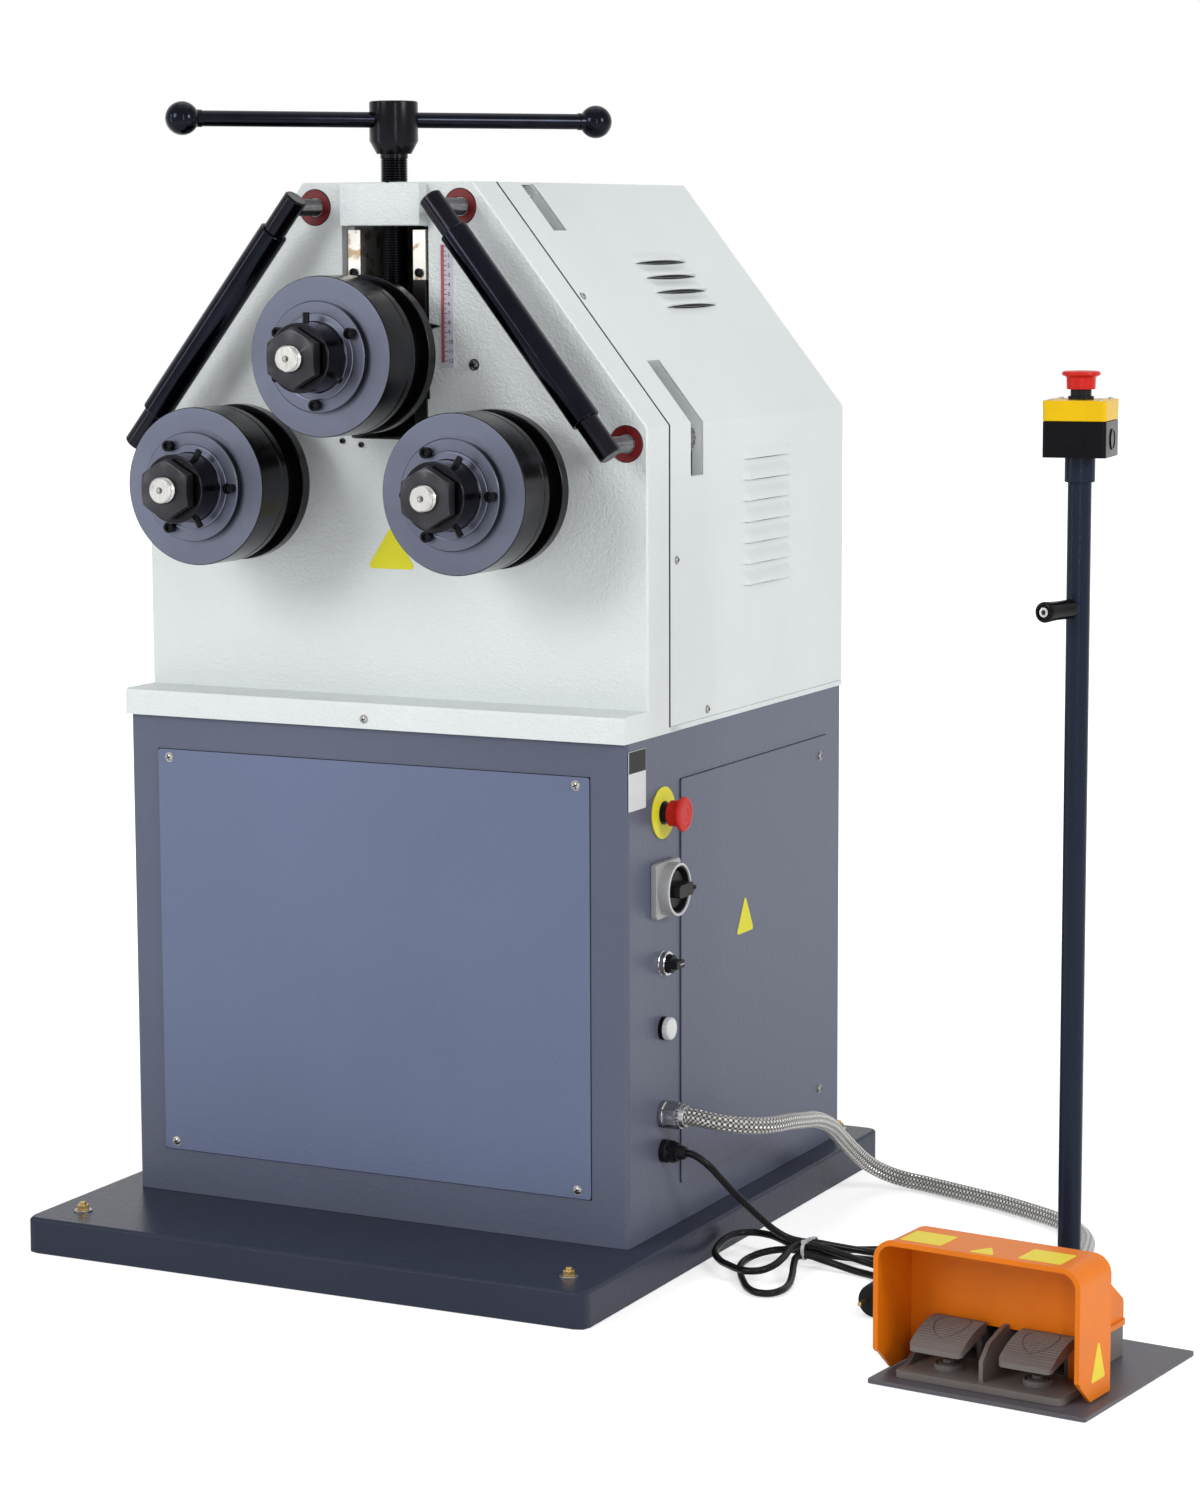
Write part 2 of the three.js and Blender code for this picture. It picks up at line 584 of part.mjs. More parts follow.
const slopePoint = (fromShoulder, out) => [
  hoodHalf - slope.down[0] * fromShoulder + slope.out[0] * out,
  casting.shoulder - slope.down[1] * fromShoulder + slope.out[1] * out,
];
const turnSide = (points, side) => (
  side > 0 ? points : points.map(([x, z]) => [-x, z]).reverse()
);

function wheelSlots(side) {
  const slopeLength = Math.hypot(
    hoodHalf - casting.topHalf, casting.top - casting.shoulder,
  );
  const depth = cowl.sheet + overrun;
  const high = slopeLength + wheelSlot.topOver;
  const low = slopeLength - wheelSlot.topDown;
  const upper = [
    slopePoint(low, -depth), slopePoint(low, overrun), slopePoint(high, overrun),
    slopePoint(high, -depth),
  ];
  const shoulderOut = insetCorner([hoodHalf, casting.shoulder], slope.out, [1, 0], -overrun);
  const shoulderIn = insetCorner([hoodHalf, casting.shoulder], slope.out, [1, 0], depth);
  const foot = casting.shoulder - wheelSlot.lowDown;
  const lower = [
    [hoodHalf - depth, foot], [hoodHalf + overrun, foot], shoulderOut,
    slopePoint(wheelSlot.lowUp, overrun), slopePoint(wheelSlot.lowUp, -depth), shoulderIn,
  ];
  return [upper, lower].map((points) => solid(prismY(
    outline(turnSide(points, side)), wheelSlot.front, wheelSlot.back,
  )));
}

function cowlLouvres(side) {
  const onSlope = Array.from({ length: slopeLouvres.count }, (_, i) => pressedLouvre(
    (down, out) => slopePoint(slopeLouvres.first - i * slopeLouvres.pitch - down, out),
    slopeLouvres, side,
  ));
  const onSide = Array.from({ length: sideLouvres.count }, (_, i) => pressedLouvre(
    (down, out) => [hoodHalf + out, sideLouvres.first - i * sideLouvres.pitch - down],
    sideLouvres, side,
  ));
  return [...onSlope, ...onSide];
}

// One louvre: a wedge pressed out of the sheet, hollowed from inside and open at its lower end.
function pressedLouvre(at, row, side) {
  const rise = louvre.proud / louvre.height;
  const under = (down) => at(down, rise * down - louvre.sheet);
  const inside = -cowl.sheet;
  const wedge = [
    at(-louvre.root, -rise * louvre.root), at(louvre.height, louvre.proud),
    at(louvre.height, inside / 2), at(-louvre.root, inside / 2),
  ];
  const room = [
    at(louvre.root, inside - overrun), at(louvre.height - gap, inside - overrun),
    at(louvre.height - gap, gap), at(louvre.height + overrun, gap),
    under(louvre.height + overrun), under(louvre.root),
  ];
  const shaped = (points, from, to) => solid(
    prismY(outline(turnSide(orient(points), side)), from, to),
  );
  return {
    wedge: shaped(wedge, row.front - louvre.sheet, row.back + louvre.sheet),
    room: shaped(room, row.front, row.back),
  };
}

// Points in anticlockwise order.
function orient(points) {
  const area = points.reduce((sum, [x, y], i) => {
    const [nextX, nextY] = points[(i + 1) % points.length];
    return sum + x * nextY - nextX * y;
  }, 0);
  return area > 0 ? points : [...points].reverse();
}

// The rolls, each on its shaft between a collar behind and a flange and nut in front.
const flangeBack = rolls.front;
const hubFront = flangeBack - flange.thickness - flange.hubLength;
const nutFront = hubFront - nut.faceLength - nut.hexLength;

function rollSet([x, z]) {
  const bore = shaft.radius + gap;
  const { radius, edge, jointAt, jointGroove } = rolls;
  return solid(turnedY([
    [bore, rolls.front], [radius - edge, rolls.front], [radius, rolls.front + edge],
    [radius, jointAt - jointGroove], [radius - jointGroove, jointAt],
    [radius, jointAt + jointGroove], [radius, rolls.ringBack], [rolls.grooveRadius, rolls.ringBack],
    [rolls.grooveRadius, rolls.discFront], [radius, rolls.discFront], [radius, rolls.back - edge],
    [radius - edge, rolls.back], [bore, rolls.back], [bore, rolls.front],
  ], x, z, faces.large));
}

function rollFlange([x, z]) {
  const bore = shaft.radius + gap;
  const front = flangeBack - flange.thickness;
  return solid(turnedY([
    [bore, hubFront], [flange.hubRadius - flange.edge, hubFront],
    [flange.hubRadius, hubFront + flange.edge], [flange.hubRadius, front],
    [flange.radius - flange.edge, front], [flange.radius, front + flange.edge],
    [flange.radius, flangeBack], [bore, flangeBack], [bore, hubFront],
  ], x, z));
}

function rollNut([x, z]) {
  const hexBack = nutFront + nut.hexLength;
  const hexagon = outline(ringOf(nut.across / Math.sqrt(3), 6, quarterTurn));
  const hex = prismY(hexagon, nutFront, hexBack, nut.edge).translate(x, 0, z);
  const face = turnedY(bar(nut.faceRadius, hexBack - nut.edge, hubFront), x, z);
  const bore = turnedY(bar(shaft.threadRadius + gap, nutFront - overrun, hubFront + overrun), x, z);
  return cut(join(solid(hex), solid(face)), solid(bore));
}

// The front of every shaft: centre hole, thread and the seat of the roll and its flange.
function shaftFront() {
  const end = nutFront - shaft.threadOut;
  const seat = hubFront + shaft.seatShort;
  return [
    [0, end + shaft.centreDepth], [shaft.centreRadius, end],
    [shaft.threadRadius - shaft.threadEdge, end], [shaft.threadRadius, end + shaft.threadEdge],
    [shaft.threadRadius, seat], [shaft.radius, seat], [shaft.radius, rolls.back + gap],
  ];
}

function lowShaft([x, z]) {
  const collarBack = casting.face - gap;
  const shoulder = gears.front - gap;
  const end = rearPlate.back + shaft.rearOut;
  return solid(turnedY([
    ...shaftFront(), [shaft.collarRadius, rolls.back + gap],
    [shaft.collarRadius, collarBack - shaft.collarEdge],
    [shaft.collarRadius - shaft.collarEdge, collarBack], [shaft.journalRadius, collarBack],
    [shaft.journalRadius, shoulder], [shaft.rearRadius, shoulder], [shaft.rearRadius, end],
    [0, end],
  ], x, z));
}

const carriageFront = casting.face - carriage.proud;
const carriageBack = casting.back + gap + carriage.flangeThickness;

function topShaft([x, z]) {
  const collarBack = carriageFront - gap;
  const rearCollar = carriageBack + gap;
  const end = rearCollar + carriage.collarWidth;
  return solid(turnedY([
    ...shaftFront(), [shaft.collarRadius, rolls.back + gap],
    [shaft.collarRadius, collarBack - shaft.collarEdge],
    [shaft.collarRadius - shaft.collarEdge, collarBack], [shaft.radius, collarBack],
    [shaft.radius, rearCollar], [carriage.collarRadius, rearCollar],
    [carriage.collarRadius, end], [0, end],
  ], x, z));
}

// The carriage: a T in plan that slides between the gibs and bears on the casting's back.
function slideCarriage() {
  const half = slot.half - gib.width - gap;
  const bottom = rolls.topAxis - carriage.below;
  const top = rolls.topAxis + carriage.above;
  const tee = outline(mirrored([
    [half, carriageFront], [half, casting.back + gap], [carriage.flangeHalf, casting.back + gap],
    [carriage.flangeHalf, carriageBack],
  ]));
  const body = solid(prismZ(tee, bottom, top, carriage.edge));
  const bore = solid(turnedY(
    bar(turningBore(shaft.radius, faces.large), carriageFront - overrun, carriageBack + overrun),
    0, rolls.topAxis,
  ));
  const socket = solid(turnedZ(bar(turningBore(spindle.radius, faces.middle), spindle.bottom - gap,
    top + overrun), 0, spindle.y, faces.middle));
  const pinsAt = spindle.neckRadius + gap + keeperPin.radius;
  const pins = [-pinsAt, pinsAt].map((offset) => solid(turnedX(
    bar(keeperPin.radius, -keeperPin.reach, keeperPin.reach), spindle.y + offset,
    (spindle.neckBottom + spindle.neckTop) / 2, faces.small,
  )));
  return join(cut(body, bore, socket), ...pins, scalePointer(half));
}

function scalePointer(half) {
  const middle = rolls.topAxis + pointer.up;
  const back = casting.face - pointer.off;
  const points = [
    [half - pointer.root, middle - pointer.height / 2], [half + pointer.root, middle - pointer.height / 2],
    [pointer.tip, middle], [half + pointer.root, middle + pointer.height / 2],
    [half - pointer.root, middle + pointer.height / 2],
  ];
  return solid(prismY(outline(points), back - pointer.thickness, back));
}

function pressureSpindle() {
  const s = spindle;
  const screw = solid(turnedZ([
    [0, s.bottom], [s.radius, s.bottom], [s.radius, s.neckBottom], [s.neckRadius, s.neckBottom],
    [s.neckRadius, s.neckTop], [s.radius, s.neckTop], [s.radius, s.coneBottom],
    [s.coneRadius, s.coneBottom], [s.hubRadius, s.hubBottom], [s.hubRadius, s.hubTop - s.edge],
    [s.hubRadius - s.edge, s.hubTop], [0, s.hubTop],
  ], 0, s.y, faces.middle));
  const bore = turned(bar(handle.radius + gap, -2 * s.hubRadius, 2 * s.hubRadius), faces.middle);
  return cut(screw, solid(alongHandle(bore)));
}

const alongHandle = (geometry) => geometry
  .rotateZ(handle.azimuth * degree - quarterTurn)
  .translate(0, spindle.y, spindle.hubTop - handle.underTop);

function handleBar() {
  const neckEnd = handle.reach - Math.sqrt(handle.ballRadius ** 2 - handle.neckRadius ** 2);
  const start = Math.asin(handle.neckRadius / handle.ballRadius);
  const ball = Array.from({ length: handle.ballSteps }, (_, i) => {
    const angle = Math.PI - start - (i / (handle.ballSteps - 1)) * (Math.PI - start);
    return [handle.ballRadius * Math.sin(angle), handle.reach + handle.ballRadius * Math.cos(angle)];
  });
  ball[ball.length - 1][0] = 0;
  const half = [
    [handle.radius, neckEnd - handle.neckLength], [handle.neckRadius, neckEnd - handle.neckLength],
    ...ball,
  ];
  const other = half.map(([radius, along]) => [radius, -along]).reverse();
  return solid(alongHandle(turned([...other, ...half], faces.middle)));
}

// The gear train behind the casting.
function gearOutline(teeth, phase) {
  const pitch = (2 * Math.PI) / teeth;
  const root = pitchRadius(teeth) - toothShares.dedendum * gears.module;
  const tip = pitchRadius(teeth) + toothShares.addendum * gears.module;
  const points = [];
  for (let tooth = 0; tooth < teeth; tooth += 1) {
    const middle = phase + tooth * pitch;
    [
      [root, -toothShares.root], [tip, -toothShares.tip], [tip, toothShares.tip],
      [root, toothShares.root],
    ].forEach(([radius, share]) => {
      const angle = middle + share * pitch;
      points.push([radius * Math.cos(angle), radius * Math.sin(angle)]);
    });
  }
  return outline(points);
}

// The pinion has a gap towards the right gear; each gear's phase follows from the pinion's.
const pinionPitch = (2 * Math.PI) / gears.pinionTeeth;
const lineOf = ([x, z]) => Math.atan2(z - pinionHeight, x);
const pinionPhase = lineOf(rollPlaces.right) + pinionPitch / 2;

function gearPhase(place) {
  const line = lineOf(place);
  const lead = Math.round((line - pinionPhase) / pinionPitch) * pinionPitch + pinionPhase - line;
  const ratio = gears.pinionTeeth / gears.rollTeeth;
  return line + Math.PI - lead * ratio + Math.PI / gears.rollTeeth;
}

function rollGear(place) {
  const [x, z] = place;
  const back = gears.front + gears.width;
  const blank = prismY(gearOutline(gears.rollTeeth, gearPhase(place)), gears.front, back)
    .translate(x, 0, z);
  const bore = turnedY(bar(shaft.rearRadius + gap, gears.front - overrun, back + overrun), x, z);
  const recess = (from, to) => solid(turnedY(
    tube(gears.hubRadius, gears.webRadius, from, to, 0), x, z, faces.middle,
  ));
  return cut(solid(blank), solid(bore), recess(gears.front - overrun, gears.front + gears.webDepth),
    recess(back - gears.webDepth, back + overrun));
}

const motorFront = rearPlate.back + gap;

function drivePinion() {
  const front = gears.front - gears.pinionProud;
  const back = gears.front + gears.width + gears.pinionProud;
  const wheelBody = solid(prismY(gearOutline(gears.pinionTeeth, pinionPhase), front, back)
    .translate(0, 0, pinionHeight));
  const spindleEnd = motorFront + motor.shaftDepth - motor.shaftEnd;
  const axle = solid(turnedY(
    bar(gears.shaftRadius, casting.pinionStop + gap, spindleEnd), 0, pinionHeight, faces.middle,
  ));
  return join(wheelBody, axle);
}

function bearingPlate() {
  const p = rearPlate;
  const plate = solid(prismY(outline(mirrored([
    [p.half, cabinet.top], [p.half, p.shoulder], [p.topHalf, p.top],
  ])), p.front, p.back));
  const foot = solid(block([-p.half, p.half], [p.footFront, p.back], [cabinet.top, p.footTop]));
  const bores = [
    [rollPlaces.left, shaft.rearRadius], [rollPlaces.right, shaft.rearRadius],
    [[0, pinionHeight], gears.shaftRadius],
  ].map(([[x, z], radius]) => {
    const count = radius === gears.shaftRadius ? faces.middle : faces.large;
    return solid(turnedY(
      bar(turningBore(radius, count), p.front - overrun, p.back + overrun), x, z, count,
    ));
  });
  return cut(join(plate, foot), ...bores);
}

function gearMotor() {
  const boxFront = motorFront + motor.spigotLength;
  const boxBack = boxFront + motor.boxLength;
  const bodyFront = boxBack + motor.neckLength;
  const bodyBack = bodyFront + motor.bodyLength;
  const capBack = bodyBack + motor.capLength;
  const shell = solid(turnedY([
    [0, motorFront], [motor.spigotRadius, motorFront], [motor.spigotRadius, boxFront],
    [motor.boxRadius - motor.round, boxFront], [motor.boxRadius, boxFront + motor.round],
    [motor.boxRadius, boxBack - motor.round], [motor.boxRadius - motor.round, boxBack],
    [motor.neckRadius, boxBack], [motor.neckRadius, bodyFront], [motor.bodyRadius, bodyFront],
    [motor.bodyRadius, bodyBack], [motor.capRadius, bodyBack],
    [motor.capRadius, capBack - motor.round], [motor.capRadius - motor.round, capBack], [0, capBack],
  ], 0, pinionHeight));
  const fins = solid(prismY(outline(finPoints()), bodyFront, bodyBack).translate(0, 0, pinionHeight));
  const foot = solid(block([-motor.footHalf, motor.footHalf],
    [boxFront + motor.footIn, boxFront + motor.footIn + motor.footLength],
    [cabinet.top, pinionHeight]));
  const terminals = solid(block([-motor.boxHalf, motor.boxHalf],
    [bodyFront + motor.boxIn, bodyFront + motor.boxIn + motor.boxDepth],
    [pinionHeight, pinionHeight + motor.bodyRadius + motor.boxHeight]));
  const bore = solid(turnedY(bar(turningBore(gears.shaftRadius, faces.middle), motorFront - overrun,
    motorFront + motor.shaftDepth), 0, pinionHeight, faces.middle));
  return cut(join(shell, fins, foot, terminals), bore);
}

function finPoints() {
  const pitch = (2 * Math.PI) / motor.finCount;
  const tip = motor.bodyRadius + motor.finHeight;
  return Array.from({ length: motor.finCount }, (_, i) => i * pitch).flatMap((middle) => [
    [motor.bodyRadius, -finShares.rootHalf], [tip, -finShares.tipHalf],
    [tip, finShares.tipHalf], [motor.bodyRadius, finShares.rootHalf],
  ].map(([radius, share]) => {
    const angle = middle + share * pitch;
    return [radius * Math.cos(angle), radius * Math.sin(angle)];
  }));
}

// The guide arms: a rod on two studs, with a sleeve that turns on the rod.
function armFrame(side) {
  const run = side * (studTop[0] - studLow[0]);
  const rise = studTop[1] - studLow[1];
  const middle = [side * (studTop[0] + studLow[0]) / 2, (studTop[1] + studLow[1]) / 2];
  return { middle, lean: Math.atan2(run, rise), half: Math.hypot(run, rise) / 2 };
}

function onArm(geometry, side) {
  const { middle, lean } = armFrame(side);
  return geometry.rotateX(quarterTurn).rotateY(lean).translate(middle[0], arm.y, middle[1]);
}

function guideArm(side) {
  const reach = armFrame(side).half + arm.beyond;
  const rod = solid(onArm(turned([
    [0, -reach], [arm.radius - arm.edge, -reach], [arm.radius, arm.edge - reach],
    [arm.radius, reach - arm.edge], [arm.radius - arm.edge, reach], [0, reach],
  ], faces.middle), side));
  const studs = Object.values(studPlaces).filter(([x]) => Math.sign(x) === side);
  return join(rod, ...studs.map(([x, z]) => solid(turnedY([
    [0, arm.y], [stud.radius, arm.y], [stud.radius, stud.end - stud.edge],
    [stud.radius - stud.edge, stud.end], [0, stud.end],
  ], x, z, faces.middle))));
}

function guideSleeve(side) {
  const half = armFrame(side).half - sleeve.short;
  const bore = turningBore(arm.radius, faces.middle);
  return solid(onArm(turned(tube(bore, sleeve.radius, -half, half, sleeve.edge), faces.middle), side));
}

function thumbNut([x, z]) {
  const points = ringOf(1, 2 * wheel.knurls).map(([cos, sin], i) => {
    const radius = wheel.radius - (i % 2) * wheel.knurlDepth;
    return [radius * cos, radius * sin];
  });
  const rim = prismY(outline(points), wheelFront, wheelFront + wheel.width).translate(x, 0, z);
  const bore = turnedY(bar(turningBore(stud.radius, faces.middle), wheelFront - overrun,
    wheelFront + wheel.width + overrun), x, z, faces.middle);
  return cut(solid(rim), solid(bore));
}

// Controls on the cabinet's side. Profiles run out from the panel.
const onPanel = (profile, height, count = faces.middle) => solid(
  turnedX(profile.map(([radius, along]) => [radius, halfCabinet + along]), controlsY, height, count),
);
const panelThread = (height) => onPanel(bar(thread.radius, -thread.behind, overrun / 2), height,
  faces.small);

// The fixed part of a stop: collar and neck. The ring under it is on the panel's only.
const stopNeck = [
  [0, 0], [stop.collarRadius, 0], [stop.collarRadius, stop.collarTop],
  [stop.neckRadius, stop.collarTop], [stop.neckRadius, stop.neckTop],
  [stop.stemRadius + gap, stop.neckTop], [stop.stemRadius + gap, stop.boreBottom],
  [0, stop.boreBottom],
];
const stopButton = [
  [0, stop.stemBottom], [stop.stemRadius, stop.stemBottom], [stop.stemRadius, stop.roomTop],
  [stop.neckRadius + gap, stop.roomTop], [stop.neckRadius + gap, stop.skirtBottom],
  [stop.skirtRadius, stop.skirtBottom], [stop.skirtRadius, stop.roomTop],
  [stop.capRadius, stop.roomTop], [stop.capRadius, stop.capTop - stop.round],
  [stop.capRadius - stop.round, stop.capTop], [0, stop.capTop],
];

function stopBase() {
  const ring = onPanel(bar(stop.ringRadius, 0, stop.ringThickness), stop.height, faces.large);
  return cut(
    join(ring, onPanel(stopNeck, stop.height), panelThread(stop.height)),
    onPanel(bar(stop.stemRadius + gap, stop.boreBottom, stop.neckTop + overrun), stop.height),
  );
}

function isolatorPlate() {
  const i = isolator;
  const plate = solid(prismX(softened(
    rectangle(controlsY - i.plateHalf, i.height - i.plateHalf, controlsY + i.plateHalf,
      i.height + i.plateHalf), i.corner,
  ), halfCabinet, halfCabinet + i.plateThickness));
  const drum = onPanel([
    [0, 0], [i.drumRadius, 0], [i.drumRadius, i.drumTop - i.edge],
    [i.drumRadius - i.edge, i.drumTop], [0, i.drumTop],
  ], i.height, faces.large);
  const bore = onPanel(bar(turningBore(i.stemRadius, faces.middle), i.drumTop - i.stemDepth - gap,
    i.drumTop + overrun), i.height);
  return cut(join(plate, drum, panelThread(i.height)), bore);
}

function isolatorKnob() {
  const i = isolator;
  const bottom = i.drumTop + gap;
  const disc = onPanel(bar(i.knobRadius, bottom, bottom + i.knobThickness), i.height);
  const stem = onPanel(bar(i.stemRadius, i.drumTop - i.stemDepth, bottom + i.edge), i.height);
  const handGrip = solid(prismX(outline(rectangle(
    controlsY - i.gripReach, i.height - i.gripHalf, controlsY + i.gripReach, i.height + i.gripHalf,
  )), halfCabinet + bottom + i.edge, halfCabinet + i.gripTop, i.edge));
  return join(disc, stem, handGrip);
}

function selectorBezel() {
  const s = selector;
  const bezel = onPanel([
    [0, 0], [s.bezelRadius, 0], [s.bezelRadius, s.bezelTop - s.edge],
    [s.bezelRadius - s.edge, s.bezelTop], [0, s.bezelTop],
  ], s.height);
  const bore = onPanel(bar(turningBore(s.stemRadius, faces.small), s.bezelTop - s.stemDepth - gap,
    s.bezelTop + overrun), s.height, faces.small);
  return cut(join(bezel, panelThread(s.height)), bore);
}

function selectorKnob() {
  const s = selector;
  const bottom = s.bezelTop + gap;
  const disc = onPanel(bar(s.knobRadius, bottom, s.knobTop), s.height);
  const stem = onPanel(bar(s.stemRadius, s.bezelTop - s.stemDepth, s.knobTop), s.height, faces.small);
  const lever = solid(prismX(outline(rectangle(
    controlsY - s.leverReach, s.height - s.leverHalf, controlsY + s.leverReach, s.height + s.leverHalf,
  )), halfCabinet + s.knobTop - s.edge, halfCabinet + s.leverTop, s.edge / 2));
  return join(disc, stem, lever);
}

const lampBezel = () => join(
  onPanel(bar(lamp.bezelRadius, 0, lamp.bezelTop), lamp.height), panelThread(lamp.height),
);
const lampLens = () => onPanel([
  [0, lamp.bezelTop], [lamp.lensRadius, lamp.bezelTop], [lamp.lensRadius, lamp.lensTop - lamp.edge],
  [lamp.lensRadius - lamp.edge, lamp.lensTop], [0, lamp.lensTop],
], lamp.height);

function panelGland(g) {
  const turnedPart = onPanel([
    [0, 0], [g.baseRadius, 0], [g.baseRadius, g.baseTop], [g.noseRadius, g.hexTop],
    [g.noseEnd, g.noseTop], [0, g.noseTop],
  ], g.height);
  const hex = solid(prismX(outline(ringOf(g.across / Math.sqrt(3), 6)), halfCabinet + g.baseTop / 2,
    halfCabinet + g.hexTop).translate(0, controlsY, g.height));
  const bore = onPanel(bar(g.boreRadius, -overrun, g.noseTop + overrun), g.height, faces.small);
  return cut(join(turnedPart, hex, panelThread(g.height)), bore);
}

// The foot station: floor plate, pedal switch with its guard, and the pole with its stop.
const plateTop = floorPlate.thickness;
const baseTop = plateTop + gap + pedalBase.thickness;
const mouthIn = housing.left + guard.wall;
const mouthOut = housing.right - guard.wall;
const wallFront = guard.depth - guard.wall;
const stationPlate = () => solid(prismZ(softened(
  rectangle(floorPlate.left, floorPlate.front, floorPlate.right, floorPlate.back), floorPlate.corner,
), 0, floorPlate.thickness));

function archOutline(inset, bottom, out = 0) {
  const round = Math.max(guard.round - inset, 0);
  return softened(rectangle(inset - out, bottom, guard.width - inset + out, guard.top - inset + out),
    [0, 0, round, round]);
}

function pedalGuard() {
  const arch = solid(prismY(archOutline(0, guard.bottom), 0, guard.depth));
  const rim = solid(prismY(archOutline(0, guard.bottom, guard.rimProud), 0, guard.rimDepth));
  const room = solid(prismY(archOutline(guard.wall, guard.bottom - overrun), -overrun, wallFront));
  const chamfer = solid(prismX(outline([
    [-overrun, guard.bottom - overrun], [guard.chamferBack, guard.bottom - overrun],
    [guard.chamferBack, guard.bottom], [0, guard.chamferTop], [-overrun, guard.chamferTop],
  ]), -overrun, guard.width + overrun));
  const back = solid(prismX(outline(housingPoints(0, guard.depth - guard.wall)), housing.left,
    housing.right));
  const lip = solid(block([housing.left - housing.lip, housing.right + housing.lip],
    [guard.depth - guard.wall, housing.back + housing.lip],
    [housing.bottom, housing.bottom + housing.lipHeight]));
  const backRoom = solid(prismX(outline(housingPoints(guard.wall, guard.depth - guard.wall - overrun)),
    mouthIn, mouthOut));
  const mouth = solid(block([mouthIn, mouthOut], [wallFront - overrun, guard.depth + overrun],
    [guard.bottom - overrun, housing.bottom + overrun]));
  const under = solid(block([-overrun, guard.width + overrun],
    [guard.depth + gap / 2, housing.back + 2 * overrun], [-overrun, housing.bottom]));
  return cut(join(cut(join(arch, rim), room, chamfer), back, lip), backRoom, mouth, under);
}

function housingPoints(inset, front) {
  return [
    [front, housing.bottom - 2 * inset], [housing.back - inset, housing.bottom - 2 * inset],
    [housing.back - inset, housing.slopeBottom - inset / 2],
    [housing.slopeFront, housing.top - inset], [front, housing.top - inset],
  ];
}

function pedalSwitchBase() {
  const b = pedalBase;
  const bottom = plateTop + gap;
  const bodyTop = housing.bottom - gap;
  const neckIn = mouthIn + gap;
  const neckOut = mouthOut - gap;
  const tray = solid(prismZ(softened(rectangle(b.left, b.front, b.right, wallFront - gap),
    [b.corner, b.corner, 0, 0]), bottom, baseTop));
  const neck = solid(block([neckIn, neckOut], [b.front + b.corner, housing.back - overrun],
    [bottom, baseTop]));
  const body = solid(block([housing.left + gap, housing.right - gap],
    [guard.depth + gap, housing.back], [bottom, bodyTop]));
  const well = solid(block([neckIn + b.railWidth, neckOut - b.railWidth],
    [guard.depth, b.wellBack], [b.wellFloor, bodyTop + overrun]));
  const posts = [pedal.leftX, pedal.rightX].map((x) => solid(turnedZ([
    [0, baseTop - overrun / 2], [b.postRadius, baseTop - overrun / 2],
    [b.postRadius, baseTop + b.postHeight], [b.postCore, baseTop + b.postHeight],
    [b.postCore, baseTop + b.postCoreHeight], [0, baseTop + b.postCoreHeight],
  ], x, b.postY, faces.small)));
  const whole = join(cut(join(tray, neck, body), well), ...posts, sideRail(), middleRib(),
    ...pivotCheeks(), baseGland(), cableEntryHex());
  return cut(whole, ...pinBores());
}

function sideRail() {
  const b = pedalBase;
  const low = baseTop - b.thickness / 2;
  return solid(prismX(outline([
    [b.railFront, low], [wallFront - gap, low], [wallFront - gap, baseTop + b.railRise],
    [b.railFront + b.railRun, baseTop + b.railRise], [b.railFront, baseTop],
  ]), b.left, b.left + b.railWidth));
}

function middleRib() {
  const b = pedalBase;
  const middle = (pedal.leftX + pedal.rightX) / 2;
  const low = baseTop - b.thickness / 2;
  return solid(prismX(outline([
    [b.ribFront, low], [b.wellBack, low], [b.wellBack, baseTop + b.ribTop],
    [b.ribFront + b.ribRun, baseTop + b.ribTop],
    [b.ribFront + ribShares.run * b.ribRun, baseTop + ribShares.rise * b.ribTop],
    [b.ribFront, baseTop + b.ribRise],
  ]), middle - b.ribHalf, middle + b.ribHalf));
}

// Cheeks either side of each pedal's hub take its pin.
function pivotCheeks() {
  const b = pedalBase;
  const inner = pedal.armHalf + gap;
  return [pedal.leftX, pedal.rightX].flatMap((x) => [-1, 1].map((side) => {
    const edges = [x + side * inner, x + side * (inner + b.cheekWidth)].sort((a, c) => a - c);
    return solid(block(edges, [b.wellFront, b.wellBack + overrun],
      [b.wellFloor - overrun, b.cheekTop]));
  }));
}

function pinBores() {
  const reach = pedal.armHalf + gap + pedalBase.cheekWidth + gap;
  return [pedal.leftX, pedal.rightX].map((x) => solid(turnedX(
    bar(turningBore(pedal.pinRadius, faces.small), x - reach, x + reach), pedal.axisY,
    pedal.axisHeight, faces.small,
  )));
}

const baseGland = () => solid(turnedY(
  bar(rearGland.radius, housing.back - overrun, housing.back + rearGland.length),
  rearGland.x, rearGland.height, faces.middle,
));
const cableEntryHex = () => solid(prismY(outline(ringOf(rearGland.across / Math.sqrt(3), 6)),
  housing.back - overrun, housing.back + rearGland.hexLength)
  .translate(rearGland.x, 0, rearGland.height));

